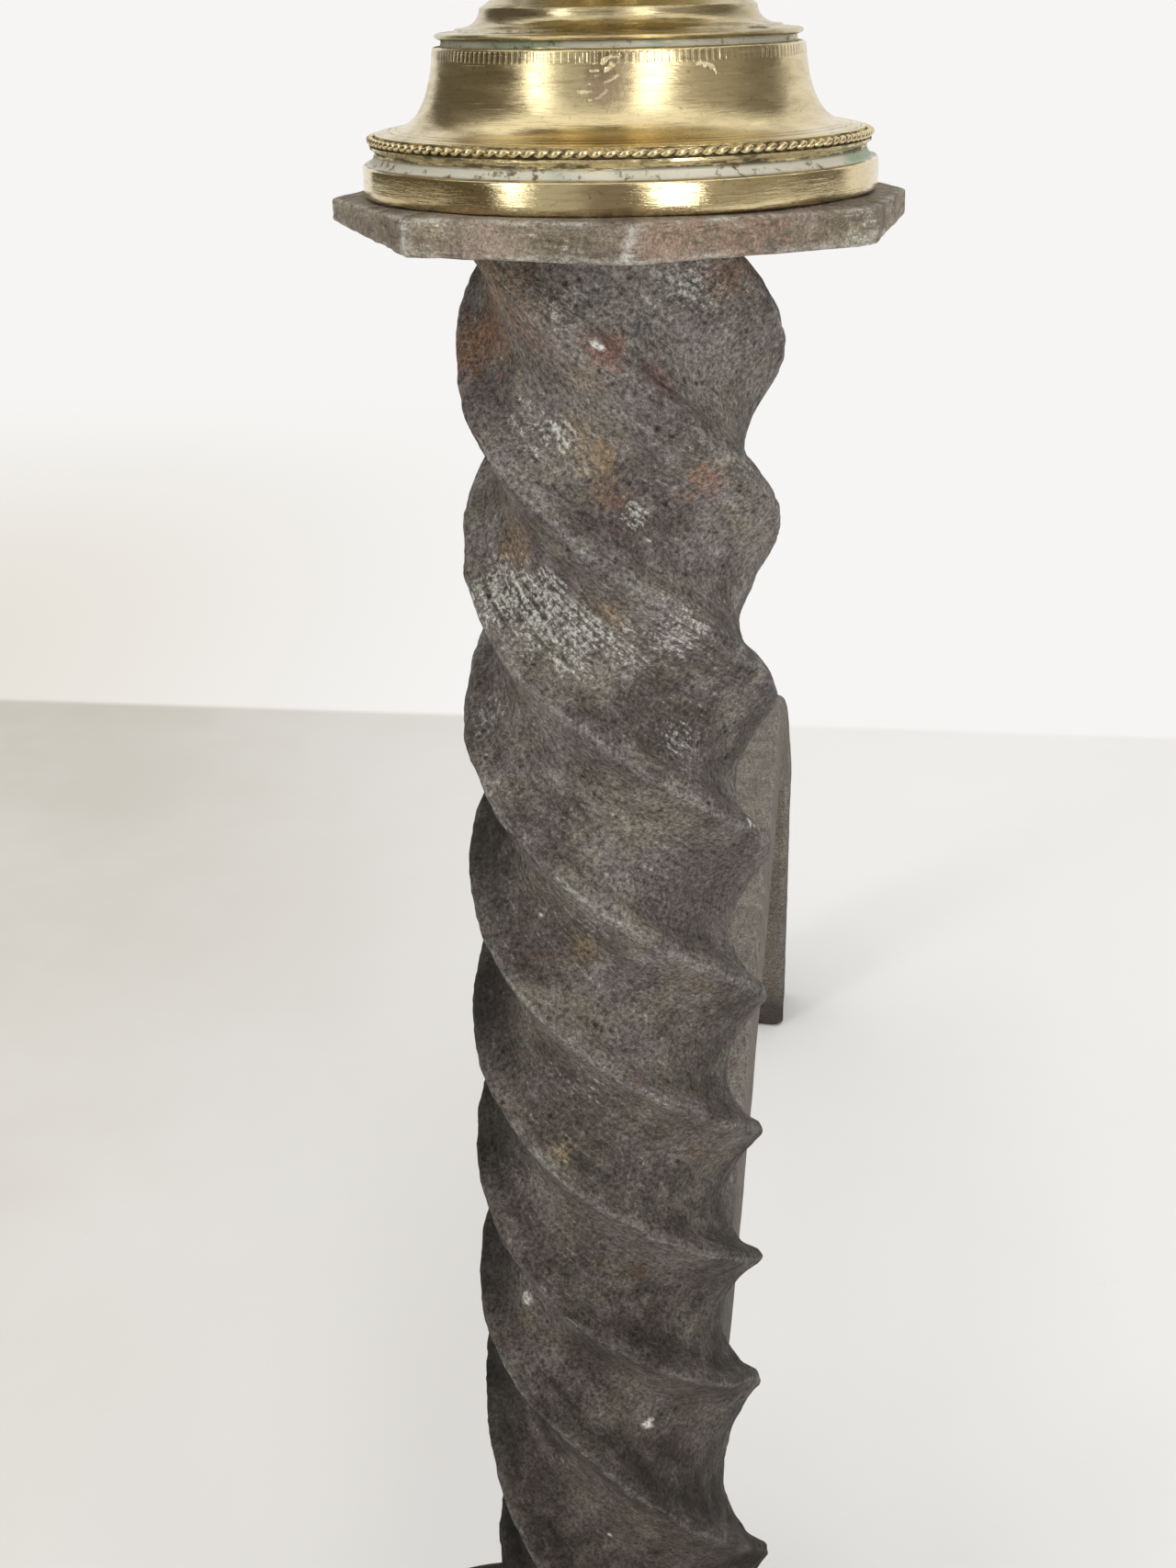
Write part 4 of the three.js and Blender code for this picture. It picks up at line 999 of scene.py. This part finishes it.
bead_row = skin("bead_row", [bead_rings], "grime")
bead_row.data.materials.append(base_brass)
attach(bead_row, "andiron")

# ---- finial neck ----
# Hollow turned brass stem between the base and the body, with a thin rim that laps the base. The
# rod runs up through it, and the clamped stack holds it in its place.

neck_brass = brass("neck_brass", (0.62, 0.525, 0.315), (0.36, 0.3, 0.18))
neck_profile = [
    (22, 0, 0.8), (25.2, 0.02, 0.8), (25.75, 0.2, 0.2), (25.9, 0.45, 0), (25.75, 0.75, 0),
    (25.2, 0.92, 0.2), (23.8, 1.0, 0.5), (23.2, 1.1, 0.3),
]
neck_profile += bow((22.8, 1.4), (19.7, 1.45), (19.4, 3.9), 10, (0.15, 0))
neck_profile += bow((19.3, 4.0), (11.5, 9.0), (11.5, 18), 20)
neck_profile += bow((11.5, 18.2), (11.6, 22.8), (16, 23), 12)
neck_profile += [(16.5, 23.2, 0.1), (16.5, 24.7, 0.1), (16.1, 25, 0.7), (10, 25, 0.5)]
turned_piece("finial_neck", "neck_turned", neck_profile, neck_brass)

# ---- finial bowl ----
# Lower half of the hollow brass body, cast and turned, with the belt on its rim. It stands on the
# neck, and the rod runs up through it.

BODY_RADIUS = 41
BODY_FOOT_RADIUS = 14
BOWL_HEIGHT = 37
start = -degrees(acos(BODY_FOOT_RADIUS / BODY_RADIUS))
bowl_up = BOWL_HEIGHT / sin(radians(-start))
bowl_profile = [(8, 0, 0.6)] + bulge((0, BOWL_HEIGHT), BODY_RADIUS, bowl_up, start, 0, 40)
bowl_profile += [
    (41, 37.2, 0.6), (42.2, 37.5, 0.6), (42.9, 37.9, 0.2), (43.35, 38.8, 0), (43.4, 40, 0),
    (43.35, 41.3, 0), (42.9, 42.4, 0.2), (42.2, 42.8, 0.5), (41.1, 43, 0.9), (35, 43, 0.6),
]
turned_piece("finial_bowl", "bowl_turned", bowl_profile, neck_brass)

# ---- finial dome ----
# Upper half of the brass body, cast and turned. Its short spigot fits inside the belt, and the
# clamped stack holds the halves together.

DOME_HEIGHT = 30
DOME_TOP_RADIUS = 15
SPIGOT = 4
end = degrees(acos(DOME_TOP_RADIUS / BODY_RADIUS))
dome_up = DOME_HEIGHT / sin(radians(end))
dome_profile = [(33, -SPIGOT, 0.5), (37.9, -SPIGOT, 0.5), (37.9, 0, 0.9), (40.9, 0, 0.7)]
dome_profile += bulge((0, 0), BODY_RADIUS, dome_up, 0.5, end, 36) + [(9, DOME_HEIGHT, 0.5)]
turned_piece("finial_dome", "dome_turned", dome_profile, neck_brass, raised=SPIGOT)

# ---- finial cap ----
# Small turned brass moulding that seats the knob on the dome. It is bored through for the rod and
# clamped by the knob.

cap_profile = [(12, 0, 0.7)] + bulge((17.25, 1.75), 1.75, 1.75, -90, 90, 12) + [(15.9, 3.5, 0.5)]
cap_profile += bow((15.5, 3.6), (9.6, 3.7), (9.5, 12), 16)
cap_profile += [(9.9, 12.6, 0), (10.4, 13.4, 0), (10.5, 13.9, 0.3), (7, 14, 0.5)]
turned_piece("finial_cap", "cap_turned", cap_profile, neck_brass, 192)

# ---- top knob ----
# Turned brass ball on a collar, with a small tip, all one piece. It is threaded inside and screws
# down on the tie rod.

BALL_RADIUS = 15
STEM_RADIUS, STEM_TOP = 8, 9
TIP_RADIUS = 4.2
ball_start = -degrees(acos(STEM_RADIUS / BALL_RADIUS))
ball_end = degrees(acos(TIP_RADIUS / BALL_RADIUS))
ball_centre = STEM_TOP - BALL_RADIUS * sin(radians(ball_start))
ball_top = ball_centre + BALL_RADIUS * sin(radians(ball_end))
knob_profile = [
    (7, 0, 0.6), (11.4, 0, 0.6), (12.2, 0.3, 0.1), (12.5, 1.1, 0), (12.5, 2.9, 0), (12.2, 3.7, 0.1),
    (11.4, 4, 0.3), (9, 4.2, 0.6), (STEM_RADIUS, 5, 0.5), (7.7, 6.6, 0.2), (7.8, 8.4, 0.4),
]
knob_profile += bulge((0, ball_centre), BALL_RADIUS, BALL_RADIUS, ball_start, ball_end, 36)
knob_profile += [(3.2, ball_top + 0.3, 0.7), (2.7, ball_top + 1, 0.5)]
knob_profile += bow((2.8, ball_top + 1.3), (7.9, ball_top + 5), (0.6, ball_top + 8.9), 14)
turned_piece("top_knob", "knob_turned", knob_profile, neck_brass, 160, body="knob")

# ---- floor and backdrop ----
# A pale painted board, only to stand the andiron on, with painted shade that darkens it to the left.
# It ends at a white sweep behind, which the camera sees as white all round, darkened with painted
# shade towards the left.

BOARD_BACK_Y = 0.565
BOARD_FRONT_Y = -0.85
BACKDROP = (0.925, 0.915, 0.905, 1)
floor_mesh = bpy.data.meshes.new("floor")
floor_mesh.from_pydata(
    [(-3, BOARD_FRONT_Y, 0), (3, BOARD_FRONT_Y, 0), (3, 3, 0), (-3, 3, 0)], [], [(0, 1, 2, 3)]
)
floor = stand("floor", floor_mesh)
paint = bpy.data.materials.new("floor_paint")
tree = empty_tree(paint)
place = add(tree, "TexCoord").outputs["Object"]
split = axes(tree, place)
# Painted shade: the board is darker towards the left.
shade_to_left = between(tree, split["X"], -0.5, 0.12)
tone = colours(tree, shade_to_left, (0.62, 0.585, 0.51, 1), (0.93, 0.915, 0.895, 1))
cloud = between(tree, grain(tree, place, 5, 4), 0.35, 0.7, 0, 0.3)
tone = colours(tree, cloud, tone, (0.86, 0.85, 0.83, 1))
marks = between(tree, grain(tree, place, 60, 5), 0.66, 0.8, 0, 0.1)
tone = colours(tree, marks, tone, (0.55, 0.52, 0.46, 1))
shader = add(tree, "BsdfPrincipled", {"Base Color": tone, "Roughness": 0.8})
# Painted shade on the sweep, darker towards the left.
backdrop_shade = times(tree, between(tree, split["X"], -0.1, -0.65), between(tree, split["Y"], 1.6, 0.5, 0, 0.72))
sweep_tone = colours(tree, backdrop_shade, BACKDROP, (0.72, 0.67, 0.57, 1))
sweep = add(tree, "Emission", {"Color": sweep_tone, "Strength": 1.0})
far = between(tree, split["Y"], BOARD_BACK_Y - 0.004, BOARD_BACK_Y + 0.006)
far = maths(tree, "MAXIMUM", far, between(tree, split["Y"], -0.36, -0.75))
distance = add(tree, "VectorMath", {0: place}, operation="LENGTH").outputs["Value"]
far = maths(tree, "MAXIMUM", far, between(tree, distance, 0.75, 1.3))
path = add(tree, "LightPath")
seen = maths(tree, "MAXIMUM", path.outputs["Is Camera Ray"], path.outputs["Is Glossy Ray"])
seen = maths(tree, "MAXIMUM", seen, path.outputs["Is Transmission Ray"])
blend = add(tree, "MixShader", {0: times(tree, far, seen), 1: shader.outputs[0], 2: sweep.outputs[0]})
tree.links.new(blend.outputs[0], add(tree, "OutputMaterial").inputs["Surface"])
floor_mesh.materials.append(paint)

# ---- studio light ----
# Soft light from above and from two tall windows in front, which show in the brass. The room's
# tones are there for the brass to mirror.


def area_light(name, width, length, power):
    light = bpy.data.lights.new(name, "AREA")
    light.shape = "RECTANGLE"
    light.size, light.size_y, light.energy = width, length, power
    return stand(name, light)


def window(name, azimuth, distance, low, high, width, power):
    """A tall light that faces the upright from an azimuth round it; 0 is straight in front."""
    lamp = area_light(name, width, high - low, power)
    angle = radians(azimuth)
    centre = Vector((AXIS_X * MM, AXIS_Y * MM, (low + high) / 2))
    lamp.location = centre + Vector((sin(angle), -cos(angle), 0)) * distance
    lamp.rotation_euler = (centre - lamp.location).to_track_quat("-Z", "Y").to_euler()
    return lamp


window("left_window", -45, 2.2, 0.75, 2.4, 0.36, 9)
window("left_window_foot", -39, 2.2, 0.12, 0.7, 0.3, 2.4)
window("right_window", 27, 2.4, 0.75, 3.2, 0.72, 17)
window("right_window_foot", 30, 2.4, 0.12, 0.72, 0.66, 11)
fill = window("front_fill", -30, 2.6, 0.2, 2.2, 2.4, 12)
fill.visible_glossy = False
area_light("ceiling_light", 4, 3.4, 31).location = (0, -0.2, 2.6)

world = bpy.data.worlds.new("room")
bpy.context.scene.world = world
tree = empty_tree(world)
look = axes(tree, add(tree, "TexCoord").outputs["Generated"])
flat = maths(tree, "SQRT", less(tree, 1.0001, times(tree, look["Z"], look["Z"])))
side = maths(tree, "DIVIDE", look["X"], flat)
side = between(tree, side, -1, 1, 0, 1, "LINEAR")
walls = add(tree, "ValToRGB", {0: side})
ramp = walls.color_ramp
stops = [
    (0, (0.12, 0.105, 0.08)), (0.12, (0.14, 0.12, 0.09)), (0.16, (0.52, 0.51, 0.47)),
    (0.41, (0.5, 0.49, 0.45)), (0.44, (0.25, 0.22, 0.19)), (0.62, (0.25, 0.22, 0.19)),
    (0.68, (0.52, 0.485, 0.44)), (0.8, (0.46, 0.43, 0.385)), (1, (0.37, 0.335, 0.285)),
]
for place_along, _ in stops[1:-1]:
    ramp.elements.new(place_along)
for element, (place_along, tone) in zip(ramp.elements, stops):
    element.position = place_along
    element.color = (*tone, 1)
sideways = colours(tree, between(tree, look["X"], -0.3, 0.3), (0.13, 0.115, 0.09, 1), (0.2, 0.185, 0.16, 1))
room = colours(tree, between(tree, look["Y"], -0.2, 0.1), walls.outputs[0], sideways)
room = colours(tree, between(tree, look["Z"], 0.5, 0.85), room, (0.46, 0.44, 0.4, 1))
behind = plus(tree, look["Y"], times(tree, look["X"], 0.12))
room = colours(tree, between(tree, behind, 0.62, 0.645), room, BACKDROP)
path = add(tree, "LightPath")
shown = colours(tree, path.outputs["Is Glossy Ray"], (0.56, 0.56, 0.56, 1), room)
bare = maths(tree, "MAXIMUM", path.outputs["Is Camera Ray"], path.outputs["Is Transmission Ray"])
shown = colours(tree, bare, shown, BACKDROP)
background = add(tree, "Background", {"Color": shown, "Strength": 1.0})
tree.links.new(background.outputs[0], add(tree, "OutputWorld").inputs["Surface"])

# ---- camera ----
# A hand-held close view from just above the finial base, tipped down along the upright and a
# little to its right.

PITCH, HEADING, ROLL = [radians(angle) for angle in (23.855, -8.133, -1.159)]
CAMERA_PLACE = (32.26, -270.96, 418.21)
FOCAL_LENGTH = 41.14
SENSOR_SIZE = 36
ahead = Vector((sin(HEADING) * cos(PITCH), cos(HEADING) * cos(PITCH), -sin(PITCH)))
level = Vector((cos(HEADING), -sin(HEADING), 0))
above = level.cross(ahead)
right = cos(ROLL) * level + sin(ROLL) * above
up = -sin(ROLL) * level + cos(ROLL) * above
lens = bpy.data.cameras.new("camera")
lens.lens = FOCAL_LENGTH
lens.sensor_width = SENSOR_SIZE
lens.clip_start = 0.01
camera = stand("camera", lens)
camera.rotation_euler = Matrix((right, up, -ahead)).transposed().to_euler()
camera.location = in_metres((HEAD_X + CAMERA_PLACE[0], AXIS_Y + CAMERA_PLACE[1], CAMERA_PLACE[2]))
bpy.context.scene.camera = camera
bpy.context.scene.view_settings.view_transform = "Standard"
